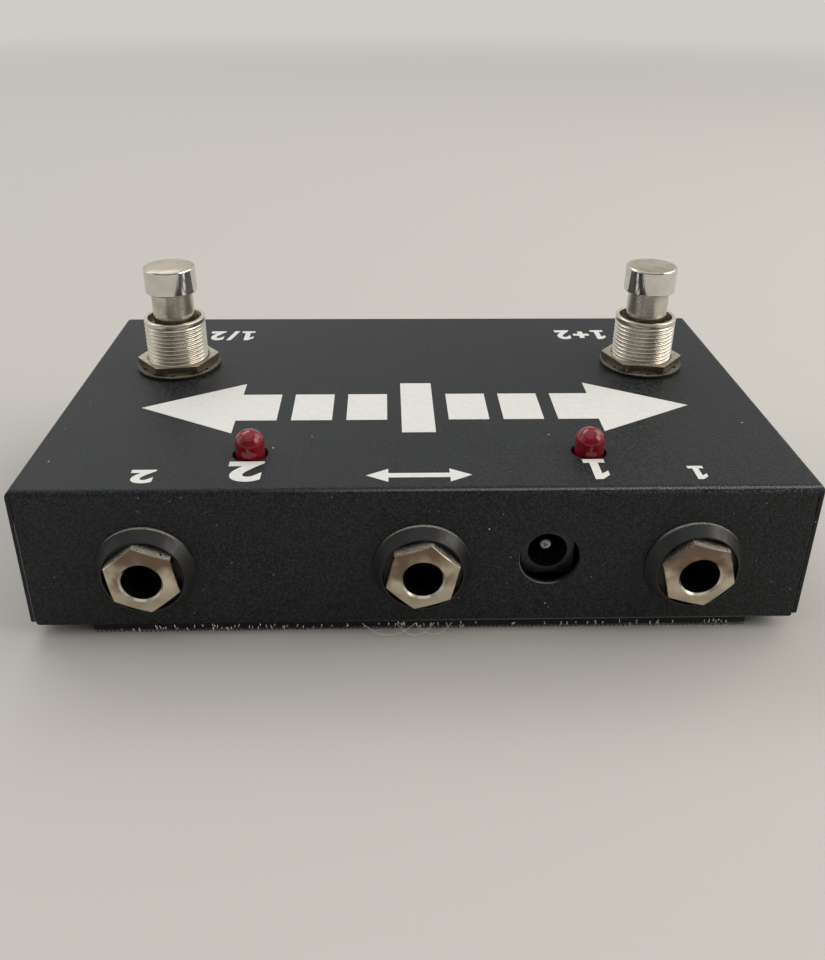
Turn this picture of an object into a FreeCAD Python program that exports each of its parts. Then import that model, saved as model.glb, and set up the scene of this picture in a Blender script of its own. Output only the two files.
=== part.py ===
# A two-button foot selector: a low folded-steel box that sends one signal to either of two sockets.
# Millimetres, +Z up. X runs left to right as seen from the socket side, which faces -Y.
# The origin is on the surface that the box stands on, under the middle of the cover.

import FreeCAD
import Part
import math
import os
import re
import Sketcher
from FreeCAD import Rotation
from FreeCAD import Vector

doc = FreeCAD.newDocument("foot_selector")
sheet = doc.addObject("Spreadsheet::Sheet", "sizes")

# Driving sizes: name, value, what it is.
SIZES = (
    # Folded cover and base
    ("case_width", 130.0, "cover, left to right"),
    ("case_depth", 78.0, "cover, front to back"),
    ("case_rise", 26.0, "cover, flange edge to top"),
    ("cover_sheet", 1.0, "steel of the cover"),
    ("bend_radius", 1.1, "outside of the bends"),
    ("seam_inset", 0.75, "cover's side to the seam"),
    ("seam_gap", 0.08, "open seam at each corner"),
    ("side_lift", 0.5, "side flanges end this much higher"),
    ("flange_round", 0.5, "corner of each flange"),
    ("base_sheet", 1.2, "steel of the base"),
    ("base_gap", 0.25, "base to flanges"),
    ("base_round", 2.0, "corner of the base"),
    ("tape_rise", 2.6, "hook tape, base to ground"),
    ("tape_width", 24.0, "one strip, front to back"),
    ("tape_shift", 0.8, "tape was stuck on this far to the right"),
    ("tape_margin", 1.5, "cover to tape, front and back"),
    ("tape_gap", 1.6, "screw heads to tape"),
    # Base screws and the brackets that take them
    ("screw_inset_side", 4.8, "cover's side to screw axis"),
    ("screw_inset_end", 6.0, "cover's front or back to screw axis"),
    ("screw_radius", 1.45, "shank"),
    ("screw_gap", 0.1, "shank to hole"),
    ("screw_head_radius", 2.6, "pan head"),
    ("screw_head_height", 1.7, "pan head"),
    ("screw_head_taper", 0.7, "sloped part of the head"),
    ("screw_reach", 5.0, "shank above the base's underside"),
    ("cross_length", 3.0, "cross recess"),
    ("cross_width", 0.7, "cross recess"),
    ("cross_depth", 0.9, "cross recess"),
    ("bracket_sheet", 1.0, "steel of the brackets"),
    ("bracket_width", 8.0, "bracket, front to back"),
    ("bracket_edge", 5.7, "leg on the base, past the screw axis"),
    ("bracket_rise", 8.0, "leg on the side flange"),
    # Foot switches
    ("switch_inset_side", 17.55, "cover's side to switch axis"),
    ("switch_inset_front", 50.0, "cover's front to switch axis"),
    ("panel_gap", 0.15, "bushing to its panel hole"),
    ("bush_radius", 5.95, "over the thread"),
    ("bush_rise", 10.8, "bushing above the cover"),
    ("bush_chamfer", 0.4, "top edge"),
    ("bush_wall", 0.75, "bushing round its recess"),
    ("recess_depth", 6.0, "recess round the neck"),
    ("neck_radius", 4.0, "neck of the button"),
    ("guide_gap", 0.05, "neck to its guide"),
    ("cap_radius", 5.0, "button cap"),
    ("cap_height", 5.3, "button cap"),
    ("cap_crown", 0.3, "rise of the cap's top"),
    ("cap_bevel", 0.45, "edge of the cap"),
    ("travel", 4.0, "button stroke"),
    ("cap_stop", 1.3, "cap above the bushing when pressed"),
    ("nut_across", 14.0, "switch nuts across flats"),
    ("nut_height", 1.7, "dress nut"),
    ("nut_chamfer", 0.5, "corners of the nuts"),
    ("backing_height", 1.8, "backing nut"),
    ("tooth_sheet", 0.7, "tooth washer"),
    ("tooth_radius", 8.2, "tooth washer"),
    ("tooth_slot", 1.0, "slot between teeth"),
    ("tooth_length", 1.2, "teeth, along the radius"),
    ("frame_sheet", 0.8, "switch frame"),
    ("frame_leg", 9.0, "legs of the switch frame, width and drop"),
    ("switch_wide", 15.8, "switch case, left to right"),
    ("switch_deep", 14.4, "switch case, front to back"),
    ("switch_wall", 1.6, "switch case"),
    ("stop_gap", 0.1, "shoulder to its stop when up"),
    ("shoulder_radius", 4.8, "shoulder of the button"),
    ("shoulder_height", 0.9, "shoulder of the button"),
    ("well_gap", 0.3, "shoulder to the well round it"),
    ("spring_solid", 2.7, "shoulder to ledge when pressed"),
    ("ledge_height", 1.0, "ledge under the spring"),
    ("stem_radius", 1.4, "stem through the spring"),
    ("stem_gap", 0.3, "stem to the hole in the ledge"),
    ("stem_clear", 0.4, "stem to rocker axle when pressed"),
    ("spring_wire", 0.4, "return spring wire"),
    ("spring_mean", 3.4, "return spring radius, to the wire's middle"),
    ("chamber_height", 5.4, "contact chamber"),
    ("pivot_height", 1.6, "rocker axis above the terminal board"),
    ("axle_radius", 0.6, "rocker axle"),
    ("axle_gap", 0.1, "rocker axle to walls and fulcrum"),
    ("blade_width", 2.0, "rocker blade"),
    ("blade_over", 0.2, "rocker blade past the lug's middle"),
    ("blade_sheet", 0.4, "rocker blade"),
    ("contact_gap", 0.06, "closed contact, blade to lug"),
    ("board_sheet_switch", 1.6, "terminal board"),
    ("lug_pitch_x", 7.0, "lugs, left to right"),
    ("lug_pitch_y", 4.4, "lugs, front to back"),
    ("lug_width", 2.4, "solder lug"),
    ("lug_sheet", 0.6, "solder lug"),
    ("lug_drop", 2.8, "lug below the terminal board"),
    ("lug_stand", 0.4, "outer lugs above the terminal board"),
    ("lug_eye", 0.6, "hole in a lug"),
    # Jack sockets, measured outwards from the cover's front
    ("board_shift", 0.5, "sockets and lamps sit this far right of the middle"),
    ("jack_inset_side", 19.9, "cover's side to an outer jack, before that shift"),
    ("jack_sink", 1.8, "jack axis below the cover's half height"),
    ("jack_hole_gap", 0.1, "boss to its panel hole"),
    ("boss_wall", 0.7, "boss of the jack body, round its thread"),
    ("boss_rise", 0.9, "boss in front of the cover"),
    ("jack_wide", 16.0, "jack body"),
    ("jack_half_high", 7.8, "jack axis to the circuit board"),
    ("jack_wall", 1.7, "back wall of the jack body"),
    ("plug_gap", 0.25, "way for the plug inside the body, wider than the bore"),
    ("washer_gap", 0.05, "boss to washer"),
    ("washer_spread", 1.4, "cone, lip to foot"),
    ("washer_foot", 0.5, "straight edge of the washer"),
    ("washer_height", 2.4, "conical washer"),
    ("washer_lip", 0.2, "width of its front edge"),
    ("bowl_gap", 0.25, "nut's corners to the washer's bowl"),
    ("washer_floor", 1.2, "floor of the bowl"),
    ("ferrule_across", 11.0, "ferrule nut across flats"),
    ("ferrule_head", 2.0, "ferrule nut head, at its corners"),
    ("ferrule_rise", 0.7, "mouth of the bore in front of those corners"),
    ("ferrule_rim", 0.1, "rim round the mouth"),
    ("ferrule_wall", 0.95, "sleeve round the plug bore"),
    ("ferrule_depth", 6.0, "sleeve behind the cover's front"),
    ("plug_bore", 3.25, "bore for the plug"),
    ("bore_flare", 0.4, "chamfer at the mouth"),
    ("ring_sheet", 0.5, "ground ring"),
    ("ring_gap", 0.1, "ferrule to ground ring"),
    ("ring_clear", 0.25, "plug bore to ground ring"),
    ("pin_width", 1.0, "terminal pins"),
    ("pin_sheet", 0.4, "terminal pins"),
    ("pin_hole", 0.65, "holes for pins and leads"),
    ("pin_end", 0.8, "pins above the board"),
    ("tip_side", 1.8, "plug's way to tip spring root"),
    ("tip_behind", 4.4, "ground ring to tip spring root"),
    ("tip_length", 15.2, "tip spring"),
    ("tip_width", 3.4, "tip spring"),
    ("tip_sheet", 0.35, "tip spring"),
    ("tip_bump", 0.9, "contact point inside the plug's way"),
    ("tip_gap", 0.1, "tip spring to its terminal"),
    ("tip_room", 1.1, "space outside the tip spring"),
    # Power socket
    ("power_offset", 1.55, "power axis left of halfway between two jacks"),
    ("power_rim", 1.75, "hole in the cover, wider than the socket's mouth"),
    ("power_set_back", 2.35, "socket behind the cover's front"),
    ("power_wall", 1.25, "socket body round its mouth"),
    ("power_up", 6.5, "power axis to the circuit board"),
    ("power_back", 2.8, "socket body behind the pin"),
    ("power_bore", 3.25, "mouth of the socket"),
    ("power_bore_depth", 9.5, "mouth of the socket"),
    ("power_pin", 1.0, "centre pin"),
    ("power_pin_set_back", 1.75, "pin's tip behind the mouth's edge"),
    ("power_pin_root", 1.2, "pin held in the back wall"),
    ("power_pin_neck", 0.75, "thinner root of the pin, in the back wall"),
    ("leaf_sheet", 0.3, "power spring"),
    ("leaf_width", 2.4, "power spring"),
    ("leaf_length", 7.0, "power spring"),
    ("leaf_bump", 0.4, "contact point inside the mouth"),
    ("leaf_side", 0.5, "power spring outside the mouth"),
    # Lamps
    ("lamp_offset", 6.15, "lamp outside halfway between two jacks"),
    ("lamp_inset", 12.2, "cover's front to lamp axis"),
    ("lamp_radius", 2.5, "lamp"),
    ("lamp_rim", 0.45, "rim at the lamp's foot, past the lamp"),
    ("lamp_rim_height", 1.0, "rim at the lamp's foot"),
    ("lamp_height", 8.6, "lamp, foot to crown"),
    ("lamp_stand", 1.2, "lamp above the circuit board"),
    ("lamp_hole_gap", 0.45, "lamp to its hole"),
    ("wire_pitch", 2.54, "lamp wires"),
    ("wire_side", 0.5, "wires of lamps and small parts are square"),
    # Circuit board and what it carries
    ("board_sheet", 1.6, "circuit board"),
    ("board_edge", 4.4, "board past the outer jack bodies"),
    ("board_front_gap", 1.5, "cover's inside to the board"),
    ("board_deep", 32.5, "board, front to back"),
    ("pad_inset", 2.5, "board's back edge to the lead holes"),
    ("resistor_radius", 1.15, "resistor"),
    ("resistor_length", 6.2, "resistor"),
    ("resistor_pitch", 10.2, "between its legs"),
    ("resistor_leg", 0.3, "axial wire"),
    ("resistor_step", 4.0, "between resistors"),
    ("resistor_inset", 12.0, "cover's front to the resistors"),
    ("capacitor_radius", 2.5, "capacitor"),
    ("capacitor_height", 7.0, "capacitor"),
    ("capacitor_pitch", 8.0, "between capacitors"),
    ("capacitor_inset", 19.0, "cover's front to the capacitors"),
    ("transistor_radius", 2.3, "transistor"),
    ("transistor_height", 4.5, "transistor"),
    ("transistor_flat", 1.3, "axis to the flat face"),
    ("transistor_leg", 2.0, "legs, board to body"),
    ("transistor_inset", 27.0, "cover's front to the transistors"),
    # Battery
    ("battery_length", 48.5, "battery, left to right"),
    ("battery_width", 26.5, "battery, front to back"),
    ("battery_height", 17.5, "battery, top to bottom"),
    ("battery_round", 2.0, "long edges"),
    ("battery_gap", 8.25, "left switch frame to battery"),
    ("battery_back_gap", 3.0, "battery to the cover's back"),
    ("stud_radius", 2.8, "battery stud"),
    ("stud_height", 2.6, "battery stud"),
    ("stud_pitch", 12.7, "between battery studs"),
    ("snap_sheet", 5.0, "snap connector"),
    ("snap_gap", 0.2, "snap to battery"),
    ("snap_margin", 4.0, "snap past its studs, front and back"),
    ("snap_edge", 2.0, "snap past its studs, above and below"),
    ("foam_margin", 2.0, "foam inside the battery's outline"),
    # Hook-up wires
    ("lead_radius", 0.5, "hook-up wire"),
    ("lead_run", 5.5, "switch leads, switch case to their first bend"),
    ("lead_lean", 1.5, "switch leads, first bend to second bend, forwards"),
    ("lead_low", 7.5, "second bend of the switch leads, below the board"),
    ("lead_high", 5.0, "last bend of the switch leads, below the board"),
    ("snap_lead_pitch", 2.0, "between the battery leads"),
    ("snap_lead_run", 6.6, "battery leads, snap to their first bend"),
    ("snap_lead_aside", 3.0, "battery leads, first bend to second bend, sideways"),
    ("snap_lead_high", 5.6, "second bend of the battery leads, below the board"),
)

# Counts
TAPES = 3
TEETH = 12
SPRING_TURNS = 5
RESISTORS = 6
CAPACITORS = 2
TRANSISTORS = 2

ALIASES = {name for name, value, note in SIZES}
WORD = re.compile(r"[a-z][a-z_]*")
SIDES = (("left", -1), ("right", 1))
JACKS = (("left", -1), ("middle", 0), ("right", 1))

# How far each hexagon nut was turned when it came tight, in degrees
DRESS_NUT_TURNS = {"left": 8.5, "right": -9.7}
FERRULE_NUT_TURNS = {"left": 39.1, "middle": 17.2, "right": 44.6}

for line, (name, value, note) in enumerate(SIZES, start=1):
    sheet.set("A%d" % line, name)
    sheet.set("B%d" % line, str(value))
    sheet.setAlias("B%d" % line, name)
    sheet.set("C%d" % line, note)
doc.recompute()

parts = []
board_holes = []


def size(name):
    """Give a driving size as a number."""
    return float(sheet.get(name))


def bound(text):
    """Point each driving size in an expression at its cell."""

    def cell(word):
        name = word.group(0)
        return "sizes." + name if name in ALIASES else name

    return WORD.sub(cell, text)


def bind(item, **sizes):
    """Tie properties of an object to expressions."""
    for key, text in sizes.items():
        item.setExpression(key, bound(text))


def place(item, x="0", y="0", z="0", turn=None):
    """Tie an object's place to expressions, after an optional fixed turn."""
    if turn is not None:
        item.Placement = FreeCAD.Placement(Vector(), turn)
    for axis, text in (("x", x), ("y", y), ("z", z)):
        if text != "0":
            item.setExpression("Placement.Base." + axis, bound(text))
    return item


def sub_part(item, label):
    """Name a finished piece."""
    item.Label = label
    parts.append(item)
    return item


# Solids from sizes


def block(length, width, height, x="0", y="0", z="0"):
    """A box from its low corner."""
    item = doc.addObject("Part::Box", "block")
    bind(item, Length=length, Width=width, Height=height)
    return place(item, x, y, z)


def centred(length, width, height, x="0", y="0", z="0"):
    """A box whose middle is at x and y and whose underside is at z."""
    return block(length, width, height, "(%s) - (%s) / 2" % (x, length), "(%s) - (%s) / 2" % (y, width), z)


def rod(radius, height, x="0", y="0", z="0", turn=None):
    """A cylinder that stands on its placed end."""
    item = doc.addObject("Part::Cylinder", "rod")
    bind(item, Radius=radius, Height=height)
    return place(item, x, y, z, turn)


def cone(low_radius, high_radius, height, z="0"):
    """A cut cone on the Z axis."""
    item = doc.addObject("Part::Cone", "cone")
    bind(item, Radius1=low_radius, Radius2=high_radius, Height=height)
    return place(item, z=z)


def hexagon(across, height, z="0"):
    """A six-sided bar given its size across flats."""
    item = doc.addObject("Part::Prism", "hexagon")
    item.Polygon = 6
    bind(item, Circumradius="(%s) / sqrt(3)" % across, Height=height)
    return place(item, z=z)


def joined(*items):
    """One solid from several that meet."""
    item = doc.addObject("Part::MultiFuse", "joined")
    item.Shapes = list(items)
    return item


def together(*items):
    """A group of separate solids."""
    item = doc.addObject("Part::Compound", "together")
    item.Links = list(items)
    return item


def cut(base, *tools):
    """A solid less others."""
    item = doc.addObject("Part::Cut", "cut")
    item.Base = base
    item.Tool = tools[0] if len(tools) == 1 else joined(*tools)
    return item


def common(first, second):
    """What two solids share."""
    item = doc.addObject("Part::MultiCommon", "common")
    item.Shapes = [first, second]
    return item


# Sketched bodies


def new_body(label):
    """An empty body."""
    return doc.addObject("PartDesign::Body", label)


def new_sketch(body, role, level="0"):
    """A sketch on one of the body's own planes, moved along its normal."""
    sketch = body.newObject("Sketcher::SketchObject", body.Name + "_sketch")
    plane = [item for item in body.Origin.OriginFeatures if item.Role == role][0]
    sketch.AttachmentSupport = [(plane, "")]
    sketch.MapMode = "FlatFace"
    if level != "0":
        sketch.setExpression("AttachmentOffset.Base.z", bound(level))
    return sketch


def tie_point(sketch, curve, end, x, y):
    """Hold a point of a curve at two expressions, or on an axis for a plain 0."""
    for kind, axis, text in (("DistanceX", -2, x), ("DistanceY", -1, y)):
        if text == "0":
            sketch.addConstraint(Sketcher.Constraint("PointOnObject", curve, end, axis))
        else:
            index = sketch.addConstraint(Sketcher.Constraint(kind, -1, 1, curve, end, 1.0))
            sketch.setExpression("Constraints[%d]" % index, bound(text))


# A new outline starts as a small ring this far from the sketch's origin, before its corners are tied
SKETCH_START = 9.0


def outline(sketch, corners):
    """Draw a closed outline of straight lines through tied corners."""
    count = len(corners)
    first = sketch.GeometryCount
    turns = [2 * math.pi * k / count for k in range(count)]
    ring = [Vector(SKETCH_START + math.cos(turn), math.sin(turn), 0) for turn in turns]
    for k in range(count):
        sketch.addGeometry(Part.LineSegment(ring[k], ring[(k + 1) % count]), False)
    for k in range(count):
        sketch.addConstraint(Sketcher.Constraint("Coincident", first + k, 2, first + (k + 1) % count, 1))
    for k, (x, y) in enumerate(corners):
        tie_point(sketch, first + k, 1, x, y)


def rectangle(sketch, x_low, x_high, y_low, y_high):
    """Draw a rectangle between four expressions."""
    outline(sketch, ((x_low, y_low), (x_high, y_low), (x_high, y_high), (x_low, y_high)))


def ring_curve(sketch, x, y, radius):
    """Draw a circle."""
    curve = sketch.addGeometry(Part.Circle(Vector(1, 1, 0), Vector(0, 0, 1), 1.0), False)
    index = sketch.addConstraint(Sketcher.Constraint("Radius", curve, 1.0))
    sketch.setExpression("Constraints[%d]" % index, bound(radius))
    tie_point(sketch, curve, 3, x, y)


def pad(body, sketch, length, both_ways=False):
    """Raise a sketch into a solid."""
    item = body.newObject("PartDesign::Pad", body.Name + "_raised")
    item.Profile = sketch
    item.Midplane = both_ways
    bind(item, Length=length)
    body.Tip = item
    return item


def pocket(body, sketch, length, reverse=False):
    """Cut a sketch out of the body, and make sure that it does cut."""
    doc.recompute()
    before = body.Shape.Volume
    item = body.newObject("PartDesign::Pocket", body.Name + "_cut_out")
    item.Profile = sketch
    item.Reversed = reverse
    bind(item, Length=length)
    body.Tip = item
    doc.recompute()
    if not body.Shape.Volume < before:
        raise ValueError("a pocket in %s cuts nothing" % body.Name)
    return item


def turned(label, corners):
    """A body turned round Z from an outline of radius and height."""
    body = new_body(label)
    sketch = new_sketch(body, "XZ_Plane")
    outline(sketch, corners)
    item = body.newObject("PartDesign::Revolution", label + "_turn")
    item.Profile = sketch
    item.ReferenceAxis = (sketch, ["V_Axis"])
    item.Angle = 360
    body.Tip = item
    return body


def rounded(body, feature, radius, wanted):
    """Round the edges whose middle passes a test."""
    doc.recompute()
    names = []
    for index, edge in enumerate(feature.Shape.Edges, start=1):
        middle = edge.valueAt((edge.FirstParameter + edge.LastParameter) / 2)
        if wanted(edge, middle):
            names.append("Edge%d" % index)
    item = body.newObject("PartDesign::Fillet", body.Name + "_round")
    item.Base = (feature, names)
    bind(item, Radius=radius)
    body.Tip = item
    return item


def runs_along(edge, axis):
    """Tell whether a straight edge runs along an axis."""
    if edge.Curve.TypeId != "Part::GeomLine":
        return False
    return abs(abs(edge.Curve.Direction.dot(axis)) - 1) < 1e-6


def near(first, second):
    """Tell whether two lengths are the same."""
    return abs(first - second) < 1e-4


# Wires and springs


def plain_feature(shape, label):
    """A sub-part whose shape is worked out in code."""
    item = doc.addObject("Part::Feature", label)
    item.Shape = shape
    item.Placement = FreeCAD.Placement()
    return item


def sweep(path, radius):
    """Sweep a circle along a wire of lines and arcs."""
    start = path.Edges[0]
    direction = start.tangentAt(start.FirstParameter)
    circle = Part.Wire([Part.Circle(start.valueAt(start.FirstParameter), direction, radius).toShape()])
    shell = Part.BRepOffsetAPI.MakePipeShell(path)
    shell.add(circle, False, False)
    shell.build()
    shell.makeSolid()
    return shell.shape()


def arc_between(start, corner, end):
    """An arc from start to end whose tangents meet at a corner equally far from both."""
    middle = (start + end) / 2
    rise = (corner - middle).Length
    half_chord = (end - start).Length / 2
    sagitta = half_chord * math.tan(math.atan2(rise, half_chord) / 2)
    return Part.Arc(start, middle + (corner - middle) * (sagitta / rise), end).toShape()


def lead_path(points):
    """Straight runs joined by tangent arcs as large as the two runs allow."""
    edges = []
    reached = points[0]
    radii = []
    for before, corner, after in zip(points, points[1:], points[2:]):
        into = corner - before
        out = after - corner
        reach = 0.45 * min(into.Length, out.Length)
        turn = into.getAngle(out)
        radii.append(reach / math.tan(turn / 2))
        start = corner - into * (reach / into.Length)
        end = corner + out * (reach / out.Length)
        edges.append(Part.LineSegment(reached, start).toShape())
        edges.append(arc_between(start, corner, end))
        reached = end
    edges.append(Part.LineSegment(reached, points[-1]).toShape())
    return Part.Wire(edges), min(radii)


def lead(points, label):
    """One hook-up wire along its points, which prints its least bend radius."""
    path, least = lead_path(points)
    radius = size("lead_radius")
    solid = sweep(path, radius)
    wanted = math.pi * radius ** 2 * path.Length
    ratio = solid.Volume / wanted
    print("%s: length %.1f, least radius %.1f, volume ratio %.4f" % (label, path.Length, least, ratio))
    return solid


def helix_point(mean, start, rise, angle):
    """A point of a helix and its direction there; rise is per radian from the start height."""
    point = Vector(mean * math.cos(angle), mean * math.sin(angle), start + rise * angle)
    direction = Vector(-mean * math.sin(angle), mean * math.cos(angle), rise)
    return point, direction.normalize()


def coil(mean, wire, height, turns):
    """A coil spring that stands on Z = 0, swept on pairs of arcs of a quarter turn."""
    rise = (height - wire) / (2 * math.pi * turns)
    quarters = 4 * turns
    edges = []
    for k in range(quarters):
        start, along = helix_point(mean, wire / 2, rise, k * math.pi / 2)
        end, onward = helix_point(mean, wire / 2, rise, (k + 1) * math.pi / 2)
        gap = end - start
        both = along + onward
        # The two control points lie as far from each other as both tangents together.
        a = both.dot(both) - 4
        b = -2 * gap.dot(both)
        c = gap.dot(gap)
        reach = (-b - math.sqrt(b * b - 4 * a * c)) / (2 * a)
        first = start + along * reach
        second = end - onward * reach
        meeting = (first + second) / 2
        edges.append(arc_between(start, first, meeting))
        edges.append(arc_between(meeting, second, end))
    solid = sweep(Part.Wire(edges), wire / 2)
    centres = [helix_point(mean, wire / 2, rise, k * math.pi / 8)[0] for k in range(2 * 8 * turns + 1)]
    least = min(
        centres[i].distanceToPoint(centres[j])
        for i in range(len(centres))
        for j in range(i + 8, len(centres))
    )
    print("spring: least gap to itself %.2f" % (least - wire))
    return solid


# Cover, base, tape and screws

INNER_WIDE = "(case_width / 2 - cover_sheet)"
INNER_DEEP = "(case_depth / 2 - cover_sheet)"
SEAM_OUTER = "(case_width / 2 - seam_inset)"
SEAM_INNER = "(case_width / 2 - seam_inset - seam_gap)"
SIDE_DEEP = "(case_depth / 2 - cover_sheet - seam_gap)"
FRONT = "(-case_depth / 2)"
PANEL_TOP = "(tape_rise + case_rise)"
PANEL_UNDER = "(tape_rise + case_rise - cover_sheet)"
BASE_TOP = "(tape_rise + base_sheet)"
SWITCH_OUT = "(case_width / 2 - switch_inset_side)"
SWITCH_Y = "(switch_inset_front - case_depth / 2)"
JACK_OUT = "(case_width / 2 - jack_inset_side)"
JACK_Z = "(tape_rise + case_rise / 2 - jack_sink)"
SLEEVE = "(plug_bore + ferrule_wall)"
BOSS = "(plug_bore + ferrule_wall + boss_wall)"
LAMP_OUT = "(%s / 2 + lamp_offset)" % JACK_OUT
LAMP_Y = "(lamp_inset - case_depth / 2)"
BOARD_UNDER = "(%s + jack_half_high)" % JACK_Z
BOARD_TOP = "(%s + board_sheet)" % BOARD_UNDER
POWER_X = "(board_shift + %s / 2 - power_offset)" % JACK_OUT
POWER_Z = "(%s - power_up)" % BOARD_UNDER


def signed(sign, text):
    """An expression on the left or right of the middle."""
    return "%d * %s" % (sign, text)


def make_cover():
    """The folded cover: top, four flanges, its holes and its open corner seams."""
    body = new_body("cover_shell")
    outside = new_sketch(body, "XY_Plane")
    rectangle(outside, "-case_width / 2", "case_width / 2", "-case_depth / 2", "case_depth / 2")
    solid = pad(body, outside, "case_rise")
    top = size("case_rise")
    rounded(body, solid, "bend_radius", lambda edge, middle: near(middle.z, top))

    inside = new_sketch(body, "XY_Plane")
    rectangle(inside, "-" + INNER_WIDE, INNER_WIDE, "-" + INNER_DEEP, INNER_DEEP)
    pocket(body, inside, "case_rise - cover_sheet", reverse=True)

    top_holes = new_sketch(body, "XY_Plane", "case_rise")
    for side, sign in SIDES:
        ring_curve(top_holes, signed(sign, SWITCH_OUT), SWITCH_Y, "bush_radius + panel_gap")
        lamp_x = "board_shift + %d * %s" % (sign, LAMP_OUT)
        ring_curve(top_holes, lamp_x, LAMP_Y, "lamp_radius + lamp_hole_gap")
    pocket(body, top_holes, "2 * cover_sheet")

    front_holes = new_sketch(body, "XZ_Plane", "case_depth / 2")
    for side, sign in JACKS:
        ring_curve(front_holes, "board_shift + %d * %s" % (sign, JACK_OUT), JACK_Z + " - tape_rise",
                   BOSS + " + jack_hole_gap")
    ring_curve(front_holes, POWER_X, POWER_Z + " - tape_rise", "power_bore + power_rim")
    pocket(body, front_holes, "2 * cover_sheet")

    # A seam goes in from the front and then round behind the front flange
    seams = new_sketch(body, "XY_Plane")
    turns = new_sketch(body, "XY_Plane")
    for side, sign in SIDES:
        inner = signed(sign, SEAM_INNER)
        outer = signed(sign, SEAM_OUTER)
        for end in (-1, 1):
            rectangle(seams, inner, outer, signed(end, INNER_DEEP), "%d * case_depth / 2" % end)
            rectangle(turns, signed(sign, INNER_WIDE), outer, signed(end, SIDE_DEEP), signed(end, INNER_DEEP))
    pocket(body, seams, "case_rise - bend_radius", reverse=True)
    pocket(body, turns, "case_rise - bend_radius", reverse=True)

    lifts = new_sketch(body, "XY_Plane")
    end_lifts = new_sketch(body, "XY_Plane")
    for side, sign in SIDES:
        outer = signed(sign, "case_width / 2")
        rectangle(lifts, signed(sign, INNER_WIDE), outer, "-" + SIDE_DEEP, SIDE_DEEP)
        rectangle(end_lifts, signed(sign, SEAM_OUTER), outer, "-case_depth / 2", "case_depth / 2")
    pocket(body, lifts, "side_lift", reverse=True)
    lifted = pocket(body, end_lifts, "side_lift", reverse=True)

    wide = size("case_width") / 2 - size("seam_inset") - size("seam_gap")
    deep = size("case_depth") / 2
    lift = size("side_lift")

    def flange_corner(edge, middle):
        front = runs_along(edge, Vector(0, 1, 0)) and near(abs(middle.x), wide) and near(middle.z, 0)
        side = runs_along(edge, Vector(1, 0, 0)) and near(abs(middle.y), deep) and near(middle.z, lift)
        return front or side

    rounded(body, lifted, "flange_round", flange_corner)
    place(body, z="tape_rise")
    sub_part(body, "cover_shell")


def screw_places():
    """The four base screws, as signs and expressions of their axes."""
    for side, sign in SIDES:
        for end in (-1, 1):
            x = "%d * (case_width / 2 - screw_inset_side)" % sign
            y = "%d * (case_depth / 2 - screw_inset_end)" % end
            yield sign, x, y


def make_base():
    """The flat base between the flanges."""
    body = new_body("base_plate")
    sheet_outline = new_sketch(body, "XY_Plane")
    wide = "(case_width / 2 - cover_sheet - base_gap)"
    deep = "(case_depth / 2 - cover_sheet - base_gap)"
    rectangle(sheet_outline, "-" + wide, wide, "-" + deep, deep)
    solid = pad(body, sheet_outline, "base_sheet")
    rounded(body, solid, "base_round", lambda edge, middle: runs_along(edge, Vector(0, 0, 1)))
    holes = new_sketch(body, "XY_Plane")
    for sign, x, y in screw_places():
        ring_curve(holes, x, y, "screw_radius + screw_gap")
    pocket(body, holes, "base_sheet", reverse=True)
    place(body, z="tape_rise")
    sub_part(body, "base_plate")


def make_screws():
    """Pan-head cross-recess screws, heads down."""
    screws = []
    for sign, x, y in screw_places():
        head_low = cone("screw_head_radius - screw_head_taper", "screw_head_radius", "screw_head_taper",
                        z="-screw_head_height")
        head = rod("screw_head_radius", "screw_head_height - screw_head_taper",
                   z="screw_head_taper - screw_head_height")
        shank = rod("screw_radius", "screw_reach")
        across = centred("cross_length", "cross_width", "cross_depth", z="-screw_head_height")
        along = centred("cross_width", "cross_length", "cross_depth", z="-screw_head_height")
        screws.append(place(cut(joined(head_low, head, shank), across, along), x, y, "tape_rise"))
    sub_part(together(*screws), "base_screws")


def make_brackets():
    """Angle brackets on the side flanges, tapped for the base screws."""
    brackets = []
    foot_length = "(screw_inset_side - cover_sheet + bracket_edge)"
    for sign, x, y in screw_places():
        low = "-" + INNER_WIDE if sign < 0 else "%s - %s" % (INNER_WIDE, foot_length)
        leg_low = "-" + INNER_WIDE if sign < 0 else INNER_WIDE + " - bracket_sheet"
        front = "%s - bracket_width / 2" % y
        foot = block(foot_length, "bracket_width", "bracket_sheet", low, front, BASE_TOP)
        leg = block("bracket_sheet", "bracket_width", "bracket_rise", leg_low, front, BASE_TOP)
        hole = rod("screw_radius + screw_gap", "2 * bracket_sheet", x, y, BASE_TOP + " - bracket_sheet / 2")
        brackets.append(cut(joined(foot, leg), hole))
    sub_part(together(*brackets), "corner_brackets")


def make_tapes():
    """Strips of hook tape side by side under the base, between the screw heads."""
    strips = []
    length = "(case_width - 2 * (screw_inset_side + screw_head_radius + tape_gap))"
    for k in range(TAPES):
        y = "%g * (case_depth / 2 - tape_margin - tape_width / 2)" % (2 * k / (TAPES - 1) - 1)
        strips.append(centred(length, "tape_width", "tape_rise", "tape_shift", y))
    sub_part(together(*strips), "hook_tapes")


# Foot switches: heights run from the cover's top face

BUSH_LOW = "(cover_sheet + backing_height + frame_sheet)"
SHOULDER_TOP = "(cover_sheet + backing_height + frame_sheet + stop_gap)"
SPRING_ROOM = "(travel + spring_solid)"
LEDGE = "(%s + shoulder_height + %s)" % (SHOULDER_TOP, SPRING_ROOM)
CHAMBER_TOP = "(%s + ledge_height)" % LEDGE
CASE_LOW = "(%s + chamber_height)" % CHAMBER_TOP
FOOT_LOW = "(%s + board_sheet_switch)" % CASE_LOW


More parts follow.
